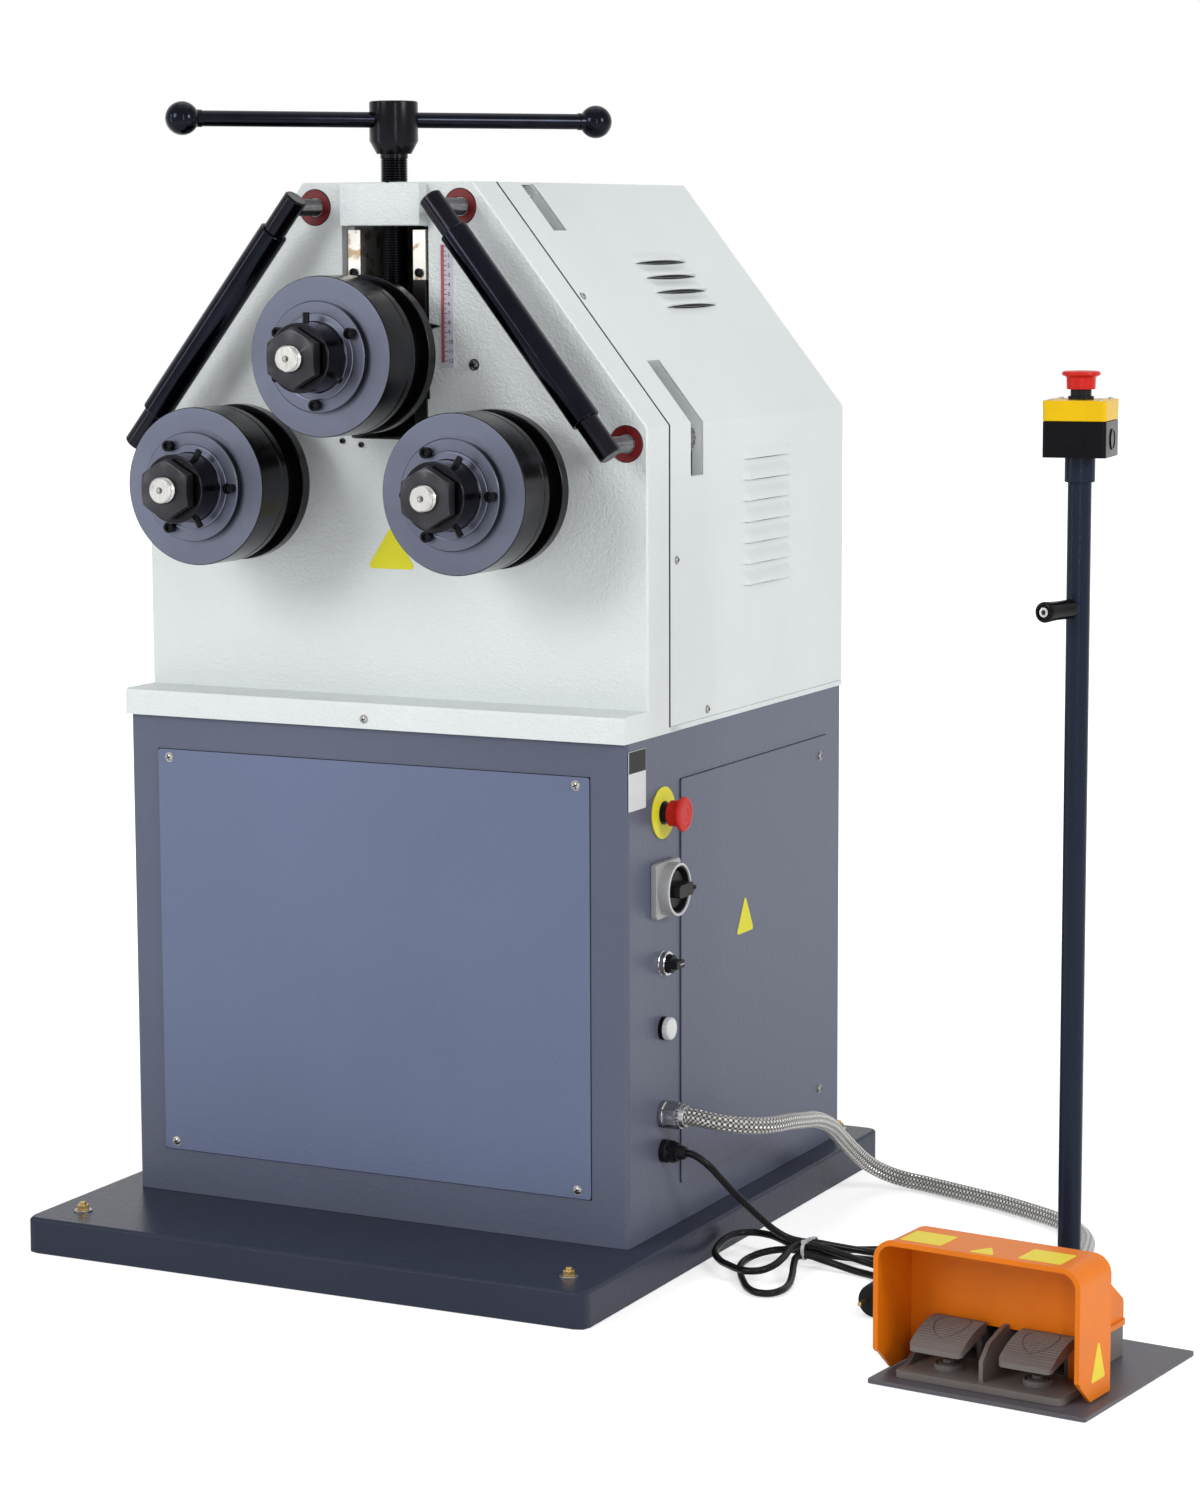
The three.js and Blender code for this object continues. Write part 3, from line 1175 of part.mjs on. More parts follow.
// A pedal: a crowned pad with a skirt, on an arm that ends in a hub with two pin ends.
function footPedal(x) {
  const p = pedal;
  const pad = solid(prismX(outline(padPoints(0)), x - p.half, x + p.half));
  const underside = solid(prismX(outline(padPoints(p.thickness)), x - p.half + p.thickness,
    x + p.half - p.thickness));
  const middleHeight = (p.frontTop + p.backTop) / 2;
  const armShape = [
    [p.axisY, p.axisHeight - p.armThickness / 2], [p.axisY, p.axisHeight + p.armThickness / 2],
    [p.back - p.finger, p.backTop - p.thickness], [p.armFront, middleHeight - p.thickness / 2],
    [p.armFront, middleHeight - p.skirt],
  ];
  const link = solid(prismX(outline(orient(armShape)), x - p.armHalf, x + p.armHalf));
  const hub = solid(turnedX(bar(p.hubRadius, x - p.armHalf, x + p.armHalf), p.axisY, p.axisHeight,
    faces.small));
  const reach = p.armHalf + pedalBase.cheekWidth;
  const pin = solid(turnedX(bar(p.pinRadius, x - reach, x + reach), p.axisY, p.axisHeight,
    faces.small));
  return join(cut(pad, underside), link, hub, pin);
}

function padPoints(inset) {
  const p = pedal;
  const crown = Array.from({ length: p.crownSteps + 1 }, (_, i) => {
    const share = i / p.crownSteps;
    const height = p.frontTop + share * (p.backTop - p.frontTop) + 4 * p.crown * share * (1 - share);
    return [p.front + inset + share * (p.back - p.front - 2 * inset), height - inset];
  });
  const drop = inset > 0 ? -p.skirt - overrun : -p.skirt;
  return [
    ...crown.reverse(), [p.front + inset, p.frontTop + drop], [p.back - inset, p.backTop + drop],
  ];
}

function stationPole() {
  const p = pole;
  const bottom = plateTop + gap;
  const post = solid(turnedZ([
    [0, bottom], [p.footRadius, bottom], [p.footRadius, bottom + p.footHeight],
    [p.radius, bottom + p.footHeight], [p.radius, p.collarBottom], [p.collarRadius, p.collarBottom],
    [p.collarRadius, p.top], [0, p.top],
  ], p.x, p.y, faces.middle));
  return join(post, solid(onGripAxis(turned(bar(grip.boltRadius, 0, grip.boltEnd), faces.small))));
}

const onGripAxis = (geometry) => geometry
  .rotateZ(grip.turn * degree - quarterTurn)
  .translate(pole.x, pole.y, grip.height);

function poleGrip() {
  const g = grip;
  const bore = turningBore(g.boltRadius, faces.middle);
  const middle = (g.inner + g.outer) / 2;
  return solid(onGripAxis(turned([
    [bore, g.inner], [g.radius - g.round, g.inner], [g.radius, g.inner + g.round],
    [g.waistRadius, middle], [g.radius, g.outer - g.round], [g.radius - g.round, g.outer],
    [0, g.outer], [0, g.boltEnd + gap], [bore, g.boltEnd + gap], [bore, g.inner],
  ], faces.middle)));
}

const stopBoxBottom = pole.top + gap;
const stopLidBottom = stopBoxBottom + stopBox.height + gap;
const stopLidTop = stopLidBottom + stopBox.lidHeight;
const onPole = (geometry) => geometry.rotateZ(stopBox.turn * degree).translate(pole.x, pole.y, 0);
const boxOutline = (inset) => softened(
  rectangle(inset - stopBox.half, inset - stopBox.half, stopBox.half - inset, stopBox.half - inset),
  Math.max(stopBox.corner - inset, stopBox.edge),
);

function stopBoxBody() {
  const outer = prismZ(boxOutline(0), stopBoxBottom, stopBoxBottom + stopBox.height);
  const room = prismZ(boxOutline(stopBox.wall), stopBoxBottom + stopBox.wall,
    stopBoxBottom + stopBox.height + overrun);
  return cut(solid(onPole(outer)), solid(onPole(room)));
}

function stopBoxLid() {
  const outer = prismZ(boxOutline(0), stopLidBottom - overrun, stopLidTop, stopBox.edge);
  const below = prismZ(boxOutline(-overrun), stopLidBottom - 2 * overrun, stopLidBottom);
  const room = prismZ(boxOutline(stopBox.wall), stopLidBottom - 2 * overrun, stopLidTop - stopBox.wall);
  const neck = solid(turnedZ(raised(stopNeck), pole.x, pole.y, faces.middle));
  return join(cut(solid(onPole(outer)), solid(onPole(below)), solid(onPole(room))), neck);
}

const raised = (profile) => profile.map(([radius, along]) => [radius, stopLidTop + along]);
const poleStopButton = () => solid(turnedZ(raised(stopButton), pole.x, pole.y, faces.middle));

// Cords. A tube starts and ends straight and square where it meets a gland or the plug.
const toPoints = (route) => route.map(([x, y, z]) => new THREE.Vector3(x, y, z));

function cordTube(points, radius, steps, count) {
  const path = new THREE.CatmullRomCurve3(points, false, 'centripetal');
  return {
    path,
    body: solid(new THREE.ExtrudeGeometry(outline(ringOf(radius, count)), {
      steps, extrudePath: path, bevelEnabled: false,
    })),
  };
}

function stationPoint([x, y, z]) {
  return new THREE.Vector3(x, y, z)
    .applyAxisAngle(new THREE.Vector3(0, 0, 1), station.turn * degree)
    .add(new THREE.Vector3(station.x, station.y, 0));
}

function conduitTube() {
  const start = new THREE.Vector3(halfCabinet + conduitGland.noseTop + gap, controlsY,
    conduitGland.height);
  const end = housing.back + rearGland.length + gap;
  const points = [
    start, ...toPoints(conduit.route),
    stationPoint([rearGland.x, end + conduit.radius, rearGland.height]),
    stationPoint([rearGland.x, end, rearGland.height]),
  ];
  return cordTube(points, conduit.radius, conduit.steps, conduit.sides).body;
}

// Points round one turn of the hank, at the height of the floor strands.
function turnPoints([x, y], radius) {
  return Array.from({ length: hank.turnSteps }, (_, i) => {
    const angle = hank.ringStart + (i / (hank.turnSteps - 1)) * (hank.ringEnd - hank.ringStart);
    return [x + radius * Math.cos(angle), y + radius * Math.sin(angle), hank.floor];
  });
}

function leadTubes() {
  const start = new THREE.Vector3(halfCabinet + cableGland.noseTop + gap, controlsY,
    cableGland.height);
  const drop = toPoints(lead.route);
  const tied = toPoints([
    ...hank.outbound, ...turnPoints(hank.ringCentre, hank.ringRadius), ...hank.leftLoop,
    ...turnPoints(hank.innerCentre, hank.innerRadius), ...hank.frontLoop,
  ]);
  const split = tied[0];
  const last = drop.at(-1);
  const towardsDrop = last.clone().sub(split).normalize();
  const dropEnd = split.clone().addScaledVector(towardsDrop, gap);
  const plugEnd = new THREE.Vector3(plug.x, plug.y + plug.tipLength + gap, plug.height);
  const plugLead = plugEnd.clone().add(new THREE.Vector3(0, 2 * lead.radius, 0));
  const afterSplit = split.clone().addScaledVector(towardsDrop, -2 * lead.radius);
  const dropTube = cordTube([start, ...drop, dropEnd], lead.radius, lead.steps, lead.sides);
  const hankTube = cordTube([split, afterSplit, ...tied.slice(1), plugLead, plugEnd], lead.radius,
    hank.steps, lead.sides);
  return { drop: dropTube, hank: hankTube };
}

function leastGap(path, radius, steps) {
  const points = path.getSpacedPoints(steps * 4);
  const reach = Math.ceil((6 * radius) / (path.getLength() / (steps * 4)));
  let least = Infinity;
  points.forEach((point, i) => {
    for (let j = i + reach; j < points.length; j += 1) {
      least = Math.min(least, point.distanceTo(points[j]) - 2 * radius);
    }
  });
  return least;
}

function mainsPlug() {
  const p = plug;
  const tip = p.y + p.tipLength;
  const front = p.y - p.taperLength - p.bodyLength;
  const body = solid(turnedY([
    [0, front], [p.radius - p.edge, front], [p.radius, front + p.edge],
    [p.radius, p.y - p.taperLength], [p.taperRadius, p.y], [p.taperRadius, tip], [0, tip],
  ], p.x, p.height, faces.middle));
  const pins = [-p.pinSpread, p.pinSpread].map((offset) => solid(turnedY(
    bar(p.pinRadius, front - p.pinLength, front + p.edge), p.x + offset, p.height, faces.small,
  )));
  return join(body, ...pins);
}

// Assembly: the stand.
add('base_plinth', basePlinth(), 'slate');
add('cabinet', cabinetShell(), 'slate');
add('front_cover', coverOnFront(), 'slate');
add('side_cover', coverOnSide(), 'slate');

// Assembly: the cast front, slide and spindle.
add('front_casting', frontCasting(), 'pale');
add('gib_left', gibStrip(-1), 'steel');
add('gib_right', gibStrip(1), 'steel');
add('carriage', slideCarriage(), 'blued');
add('spindle', pressureSpindle(), 'blued');
add('handle_bar', handleBar(), 'black');

// Assembly: the rolls.
Object.entries(rollPlaces).forEach(([name, place]) => {
  add(`${name}_shaft`, name === 'top' ? topShaft(place) : lowShaft(place), 'steel');
  add(`${name}_roll_set`, rollSet(place), 'blued');
  add(`${name}_roll_flange`, rollFlange(place), 'blued');
  add(`${name}_roll_nut`, rollNut(place), 'blued');
});

// Assembly: the drive and its cowl.
add('gear_left', rollGear(rollPlaces.left), 'darkSteel');
add('gear_right', rollGear(rollPlaces.right), 'darkSteel');
add('drive_pinion', drivePinion(), 'darkSteel');
add('rear_bearing_plate', bearingPlate(), 'pale');
add('gearmotor', gearMotor(), 'motor');
add('rear_cowl', rearCowl(), 'pale');

// Assembly: the guide arms and their nuts.
[['left', -1], ['right', 1]].forEach(([name, side]) => {
  add(`guide_arm_${name}`, guideArm(side), 'blued');
  add(`guide_sleeve_${name}`, guideSleeve(side), 'blued');
});
Object.entries(studPlaces).forEach(([name, place]) => {
  add(`thumb_nut_${name}`, thumbNut(place), 'blued');
});

// Assembly: the controls.
add('estop_base', stopBase(), 'yellow');
add('side_estop_button', onPanel(stopButton, stop.height), 'red');
add('isolator_plate', isolatorPlate(), 'silver');
add('isolator_knob', isolatorKnob(), 'black');
add('selector_bezel', selectorBezel(), 'steel');
add('selector_knob', selectorKnob(), 'black');
add('pilot_lamp', lampBezel(), 'steel');
add('lamp_lens', lampLens(), 'white');
add('conduit_gland', panelGland(conduitGland), 'darkSteel');
add('cable_gland', panelGland(cableGland), 'black');

// Assembly: the foot station.
add('station_plate', stationPlate(), 'plate', stationGroup);
add('pedal_base', pedalSwitchBase(), 'grey', stationGroup);
add('pedal_guard', pedalGuard(), 'orange', stationGroup);
add('pedal_left', footPedal(pedal.leftX), 'grey', stationGroup);
add('pedal_right', footPedal(pedal.rightX), 'grey', stationGroup);
add('station_pole', stationPole(), 'slate', stationGroup);
add('pole_grip', poleGrip(), 'black', stationGroup);
add('estop_box', stopBoxBody(), 'black', stationGroup);
add('estop_box_lid', stopBoxLid(), 'yellow', stationGroup);
add('pole_estop_button', poleStopButton(), 'red', stationGroup);

// Assembly: the cords.
const leads = leadTubes();
add('conduit', conduitTube(), 'steel', cords);
add('mains_drop', leads.drop.body, 'rubber', cords);
add('mains_hank', leads.hank.body, 'rubber', cords);
add('mains_plug', mainsPlug(), 'black', cords);
console.log(`hank's least gap to itself ${leastGap(leads.hank.path, lead.radius, hank.steps).toFixed(2)}`);

// The origin goes under the middle of everything but the cords.
const ringRoller = new THREE.Group();
const rigid = new THREE.Group();
rigid.add(machine, stationGroup);
rigid.updateMatrixWorld(true);
const extent = new THREE.Box3().setFromObject(rigid);
const middle = extent.getCenter(new THREE.Vector3());
ringRoller.add(rigid, cords);
ringRoller.position.set(-middle.x, -middle.y, -extent.min.z);

export default ringRoller;
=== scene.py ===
"""Electric ring roller: finished surfaces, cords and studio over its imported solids."""

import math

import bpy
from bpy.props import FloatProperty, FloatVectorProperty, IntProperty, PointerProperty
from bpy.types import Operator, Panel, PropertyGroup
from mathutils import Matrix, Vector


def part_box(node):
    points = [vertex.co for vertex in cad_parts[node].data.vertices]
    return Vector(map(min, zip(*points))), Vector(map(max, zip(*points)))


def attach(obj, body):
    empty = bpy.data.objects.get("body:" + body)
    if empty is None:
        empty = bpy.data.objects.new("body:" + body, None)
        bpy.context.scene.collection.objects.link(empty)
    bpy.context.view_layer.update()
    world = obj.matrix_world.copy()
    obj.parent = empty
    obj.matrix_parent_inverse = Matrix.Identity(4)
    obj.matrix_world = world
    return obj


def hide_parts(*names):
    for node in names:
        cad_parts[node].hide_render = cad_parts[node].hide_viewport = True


bl_info = {
    "name": "Ring Roller",
    "version": (1, 0, 0),
    "blender": (4, 5, 0),
    "location": "3D View > Sidebar > Ring Roller",
    "description": "Finished surfaces, cords and studio for an electric ring roller",
    "category": "Object",
}

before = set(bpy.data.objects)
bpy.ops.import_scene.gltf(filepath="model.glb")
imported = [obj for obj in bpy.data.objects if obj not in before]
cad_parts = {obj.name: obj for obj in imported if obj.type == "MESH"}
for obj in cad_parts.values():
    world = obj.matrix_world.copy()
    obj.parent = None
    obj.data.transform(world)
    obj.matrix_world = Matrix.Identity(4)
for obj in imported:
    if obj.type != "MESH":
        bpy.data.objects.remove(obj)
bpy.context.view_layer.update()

# Drawings are in millimetres, in the machine's frame: x right from the rolls' mid plane, y back
# from the cabinet's front, z up. The station has a frame of its own, turned a little.
MM = 0.001
MACHINE = Matrix.Translation(Vector((-306.90283518746554, -212.81006462095687, 0)) * MM)
STATION = MACHINE @ Matrix.Translation(Vector((714.5, -200.8, 0)) * MM) @ Matrix.Rotation(
    math.radians(-6.1), 4, "Z")
HALF_CABINET = 330
CONTROLS_Y = 91
FACE = 51.5
LOW_AXIS, TOP_AXIS, SPREAD = 903.5, 1052.5, 167.7
STUDS = {"top": (95.5, 1218.4), "low": (304.5, 954.3)}

# A drawing's own z axis, laid along an axis of the machine.
ALONG = {
    "x": Matrix.Rotation(math.radians(90), 4, "Y"),
    "y": Matrix.Rotation(math.radians(-90), 4, "X"),
    "z": Matrix.Identity(4),
}
# An outline in (y, z) drawn along x, in (x, z) along y, or in (x, y) along z.
ACROSS = {
    "x": Matrix(((0, 0, 1, 0), (1, 0, 0, 0), (0, 1, 0, 0), (0, 0, 0, 1))),
    "y": Matrix.Rotation(math.radians(90), 4, "X"),
    "z": Matrix.Identity(4),
}


class RollerSizes(PropertyGroup):
    spin_steps: IntProperty(
        name="Round Steps", description="Steps round a turned piece", default=96, min=24)
    edge: FloatProperty(
        name="Edge", description="Width of the broken edges on sheet and castings",
        default=0.0009, unit="LENGTH")
    thread_pitch: FloatProperty(
        name="Thread Pitch", description="Distance between the spindle's threads",
        default=0.003, unit="LENGTH")
    stud_pitch: FloatProperty(
        name="Stud Pitch", description="Distance between the guide studs' threads",
        default=0.0025, unit="LENGTH")
    cover_screw: FloatProperty(
        name="Cover Screw", description="Radius of the pan heads on the covers",
        default=0.0048, unit="LENGTH")
    washer: FloatProperty(
        name="Stud Washer", description="Radius of the red washers round the studs",
        default=0.0205, unit="LENGTH")
    tread_grooves: IntProperty(
        name="Tread Grooves", description="Grooves across each pedal", default=15, min=4)


class RollerColours(PropertyGroup):
    slate: FloatVectorProperty(
        name="Slate Paint", description="Stand, covers and pole", subtype="COLOR",
        default=(0.092, 0.104, 0.152), min=0, max=1)
    # The front cover's colour is the slate paint made lighter and bluer: painted sheen.
    cover: FloatVectorProperty(
        name="Cover Paint", description="Slate paint of the front cover, lightened as painted sheen", subtype="COLOR",
        default=(0.120, 0.148, 0.240), min=0, max=1)
    # The plinth's colour is the same slate paint made darker: painted shade.
    plinth: FloatVectorProperty(
        name="Plinth Paint", description="The same paint, darkened as painted shade", subtype="COLOR",
        default=(0.024, 0.029, 0.050), min=0, max=1)
    pole: FloatVectorProperty(
        name="Pole Paint", description="Pole and its fittings", subtype="COLOR",
        default=(0.011, 0.016, 0.031), min=0, max=1)
    pale: FloatVectorProperty(
        name="Pale Paint", description="Cast front and cowl", subtype="COLOR",
        default=(0.65, 0.685, 0.69), min=0, max=1)
    blued: FloatVectorProperty(
        name="Blued Steel", description="Rolls, flanges and nuts", subtype="COLOR",
        default=(0.016, 0.0155, 0.019), min=0, max=1)
    satin: FloatVectorProperty(
        name="Roll Face", description="Faced ends of the rolls", subtype="COLOR",
        default=(0.096, 0.104, 0.142), min=0, max=1)
    guard: FloatVectorProperty(
        name="Guard", description="Moulded guard over the pedals", subtype="COLOR",
        default=(0.70, 0.17, 0.003), min=0, max=1)
    pedal: FloatVectorProperty(
        name="Pedal", description="Pedals and their base", subtype="COLOR",
        default=(0.145, 0.128, 0.122), min=0, max=1)
    stop: FloatVectorProperty(
        name="Stop", description="Mushroom buttons", subtype="COLOR",
        default=(0.52, 0.018, 0.014), min=0, max=1)
    signal: FloatVectorProperty(
        name="Signal Yellow", description="Stop ring and plates", subtype="COLOR",
        default=(0.70, 0.66, 0.035), min=0, max=1)
    lid: FloatVectorProperty(
        name="Lid Yellow", description="Lid of the stop's box", subtype="COLOR",
        default=(0.66, 0.41, 0.002), min=0, max=1)


def sizes():
    return bpy.context.scene.ring_roller_sizes


def colours():
    return bpy.context.scene.ring_roller_colours


# Modelling.
def deselect():
    if bpy.context.mode != "OBJECT":
        bpy.ops.object.mode_set(mode="OBJECT")
    bpy.ops.object.select_all(action="DESELECT")


def hold(piece):
    """Selects one piece and makes it active."""
    deselect()
    piece.select_set(True)
    bpy.context.view_layer.objects.active = piece
    return piece


def named(piece, name):
    piece.name = name
    piece.data.name = name
    return piece


def wire(name, points):
    """A closed wire drawn from point to point, left selected in edit mode."""
    deselect()
    bpy.ops.mesh.primitive_plane_add(size=MM)
    piece = named(bpy.context.object, name)
    bpy.ops.object.mode_set(mode="EDIT")
    bpy.ops.mesh.merge(type="CENTER")
    places = [Vector(point) * MM for point in points]
    bpy.ops.transform.translate(value=places[0])
    for before, after in zip(places, places[1:]):
        bpy.ops.mesh.extrude_vertices_move(TRANSFORM_OT_translate={"value": after - before})
    bpy.ops.mesh.select_all(action="SELECT")
    return piece


def tidy():
    bpy.ops.mesh.select_all(action="SELECT")
    bpy.ops.mesh.remove_doubles(threshold=MM / 200)
    bpy.ops.mesh.normals_make_consistent(inside=False)
    bpy.ops.object.mode_set(mode="OBJECT")


def turned(name, profile, steps=None):
    """A piece turned about Z from a profile of (radius, height), with its rings in a UV map."""
    piece = wire(name, [(radius, 0, height) for radius, height in profile])
    bpy.ops.mesh.spin(
        steps=steps or sizes().spin_steps, angle=2 * math.pi, center=(0, 0, 0), axis=(0, 0, 1))
    tidy()
    rings = piece.data.uv_layers.new(name="turning")
    for loop in piece.data.loops:
        corner = piece.data.vertices[loop.vertex_index].co
        rings.data[loop.index].uv = (math.hypot(corner.x, corner.y), corner.z)
    return piece


def prism(name, points, low, high, axis="z", group=MACHINE):
    """An outline drawn across an axis, from low to high on it."""
    if axis == "y":
        low, high = -high, -low
    piece = wire(name, [(x, y, low) for x, y in [*points, points[0]]])
    bpy.ops.mesh.remove_doubles(threshold=MM / 200)
    bpy.ops.mesh.edge_face_add()
    bpy.ops.mesh.extrude_region_move(
        TRANSFORM_OT_translate={"value": (0, 0, (high - low) * MM)})
    tidy()
    return put(piece, group @ ACROSS[axis])


def block(name, low, high, group=MACHINE):
    (x0, y0, z0), (x1, y1, z1) = low, high
    return prism(name, [(x0, y0), (x1, y0), (x1, y1), (x0, y1)], z0, z1, "z", group)


def put(piece, matrix):
    """Moves a piece to its place and puts the place into its mesh."""
    hold(piece)
    piece.matrix_world = matrix
    bpy.ops.object.transform_apply(location=True, rotation=True, scale=True)
    return piece


def spot(x, y, z):
    return Matrix.Translation(Vector((x, y, z)) * MM)


def facing(place, direction, group=MACHINE):
    """The matrix that stands a drawing's z axis on a place, along a direction."""
    turn = Vector(direction).to_track_quat("Z", "Y").to_matrix().to_4x4()
    return group @ spot(*place) @ turn


def trim(piece, tool, how="DIFFERENCE"):
    """Joins or cuts a piece with a tool, which is used up."""
    hold(piece)
    modifier = piece.modifiers.new(how.title(), "BOOLEAN")
    modifier.operation, modifier.solver, modifier.object = how, "EXACT", tool
    bpy.ops.object.modifier_apply(modifier=modifier.name)
    bpy.data.objects.remove(tool, do_unlink=True)
    return piece


def broken(piece, width, segments=2, angle=30):
    """Bevels the sharp edges and smooths the rest."""
    hold(piece)
    modifier = piece.modifiers.new("Edge", "BEVEL")
    modifier.width, modifier.segments = width * MM, segments
    modifier.limit_method, modifier.angle_limit = "ANGLE", math.radians(angle)
    modifier.use_clamp_overlap = True
    bpy.ops.object.modifier_apply(modifier=modifier.name)
    return smooth(piece, angle)


def smooth(piece, angle=30):
    """Smooths a piece and keeps its large faces level in the light."""
    hold(piece)
    bpy.ops.object.shade_smooth_by_angle(angle=math.radians(angle))
    modifier = piece.modifiers.new("Level", "WEIGHTED_NORMAL")
    modifier.keep_sharp = True
    bpy.ops.object.modifier_apply(modifier=modifier.name)
    return piece


def joined(name, pieces):
    deselect()
    for piece in pieces:
        piece.select_set(True)
    bpy.context.view_layer.objects.active = pieces[0]
    bpy.ops.object.join()
    return named(bpy.context.object, name)


def copies(name, piece, matrices):
    """Copies of a piece at the matrices, joined in one; the piece itself is used up."""
    made = []
    for matrix in matrices:
        copy = bpy.data.objects.new(name, piece.data.copy())
        bpy.context.collection.objects.link(copy)
        made.append(put(copy, matrix))
    bpy.data.objects.remove(piece, do_unlink=True)
    return joined(name, made) if len(made) > 1 else named(made[0], name)


def skin(node, width=None, segments=2, angle=30):
    """A merged copy of a solid with its edges broken."""
    copy = bpy.data.objects.new(node + "_skin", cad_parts[node].data.copy())
    bpy.context.collection.objects.link(copy)
    copy.data.materials.clear()
    hold(copy)
    bpy.ops.object.mode_set(mode="EDIT")
    bpy.ops.mesh.select_all(action="SELECT")
    bpy.ops.mesh.remove_doubles(threshold=MM / 100)
    bpy.ops.mesh.dissolve_limited(angle_limit=math.radians(0.4))
    bpy.ops.object.mode_set(mode="OBJECT")
    return broken(copy, sizes().edge / MM if width is None else width, segments, angle)


def dress(piece, look):
    piece.data.materials.clear()
    piece.data.materials.append(look)
    return piece


def done(piece, body, slot, look, *nodes):
    """Gives a piece its look, its body and the solids that it stands for."""
    if look is not None:
        dress(piece, look)
    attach(piece, body)
    if nodes:
        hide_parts(*nodes)
    return piece


def rounded(points, radii, steps=8):
    """An outline with its corners rounded."""
    result = []
    count = len(points)
    for i, (corner, radius) in enumerate(zip(points, radii)):
        here = Vector(corner)
        if not radius:
            result.append(tuple(here))
            continue
        first = (Vector(points[i - 1]) - here).normalized()
        second = (Vector(points[(i + 1) % count]) - here).normalized()
        half = first.angle(second) / 2
        centre = here + (first + second).normalized() * (radius / math.sin(half))
        start = here + first * (radius / math.tan(half)) - centre
        sweep = start.angle_signed(here + second * (radius / math.tan(half)) - centre)
        for step in range(steps + 1):
            turn = Matrix.Rotation(-sweep * step / steps, 2)
            result.append(tuple(centre + turn @ start))
    return result


def box_outline(left, low, right, high):
    return [(left, low), (right, low), (right, high), (left, high)]


def ring_points(radius, count, start=0.0):
    angles = [start + 2 * math.pi * i / count for i in range(count)]
    return [(radius * math.cos(angle), radius * math.sin(angle)) for angle in angles]


# Shader maths as Python expressions.
class Signal:
    """A socket whose values can be reckoned with."""

    def __init__(self, look, socket):
        self.look, self.socket = look, socket

    def math(self, operation, *others, clamp=False):
        values = dict(enumerate([self, *others]))
        return self.look.node(
            "ShaderNodeMath", {"operation": operation, "use_clamp": clamp}, values)

    def __add__(self, other):
        return self.math("ADD", other)

    def __sub__(self, other):
        return self.math("SUBTRACT", other)

    def __rsub__(self, other):
        return self.look.node("ShaderNodeMath", {"operation": "SUBTRACT"}, {0: other, 1: self})

    def __mul__(self, other):
        return self.math("MULTIPLY", other)

    def __truediv__(self, other):
        return self.math("DIVIDE", other)

    def __abs__(self):
        return self.math("ABSOLUTE")

    def __gt__(self, other):
        return self.math("GREATER_THAN", other)

    def __lt__(self, other):
        return self.math("LESS_THAN", other)

    __radd__ = __add__
    __rmul__ = __mul__

    def sin(self):
        return self.math("SINE")

    def clamp(self):
        return self.math("ADD", 0.0, clamp=True)

    def between(self, low, high, start=0.0, end=1.0):
        return self.look.node("ShaderNodeMapRange", {"clamp": True}, {
            "Value": self, "From Min": low, "From Max": high, "To Min": start, "To Max": end})


class Look:
    """A material made of nodes round one Principled shader."""

    def __init__(self, name):
        self.material = bpy.data.materials.new(name)
        self.material.use_nodes = True
        self.tree = self.material.node_tree
        self.shader = self.tree.nodes["Principled BSDF"]

    def node(self, kind, settings=None, inputs=None, output=0):
        node = self.tree.nodes.new(kind)
        for key, value in (settings or {}).items():
            if key == "stops":
                ramp = node.color_ramp
                while len(ramp.elements) < len(value):
                    ramp.elements.new(0.5)
                for element, (place, colour) in zip(ramp.elements, value):
                    element.position, element.color = place, (*colour, 1)
            else:
                setattr(node, key, value)
        for key, value in (inputs or {}).items():
            self.feed(node.inputs[key], value)
        return Signal(self, node.outputs[output])

    def feed(self, socket, value):
        if isinstance(value, Signal):
            self.tree.links.new(value.socket, socket)
        elif socket.type == "RGBA" and len(value) == 3:
            socket.default_value = (*value, 1)
        else:
            socket.default_value = value

    def place(self):
        return self.node("ShaderNodeTexCoord", output="Object")

    def axes(self, vector):
        return [self.node("ShaderNodeSeparateXYZ", inputs={0: vector}, output=i) for i in range(3)]

    def noise(self, scale, detail=2.0, vector=None, roughness=0.5):
        return self.node("ShaderNodeTexNoise", inputs={
            "Vector": vector or self.place(), "Scale": scale, "Detail": detail,
            "Roughness": roughness})

    def stretched(self, x, y, z, turn=0.0):
        return self.node("ShaderNodeMapping", inputs={
            "Vector": self.place(), "Scale": (x, y, z), "Rotation": (0, 0, turn)})

    def mix(self, first, second, share):
        return self.node(
            "ShaderNodeMix", {"data_type": "RGBA"}, {0: share, 6: first, 7: second}, output=2)

    def finish(self, colour, roughness, metallic=0.0, height=None, depth=0.0005, strength=1.0,
               **sockets):
        sockets = {key.replace("_", " ").title(): value for key, value in sockets.items()}
        sockets |= {"Base Color": colour, "Roughness": roughness, "Metallic": metallic}
        sockets = {key.replace("Ior", "IOR"): value for key, value in sockets.items()}
        for key, value in sockets.items():
            self.feed(self.shader.inputs[key], value)
        if height is not None:
            normal = self.node("ShaderNodeBump", inputs={
                "Height": height, "Distance": depth, "Strength": strength})
            self.feed(self.shader.inputs["Normal"], normal)
        return self.material


def made_once(build):
    """Makes a material the first time that it is asked for."""
    def get(*kinds):
        name = " ".join([build.__name__.replace("_", " "), *kinds])
        return bpy.data.materials.get(name) or build(name, *kinds)
    return get


def shaded(colour, factor):
    return [min(1.0, part * factor) for part in colour]


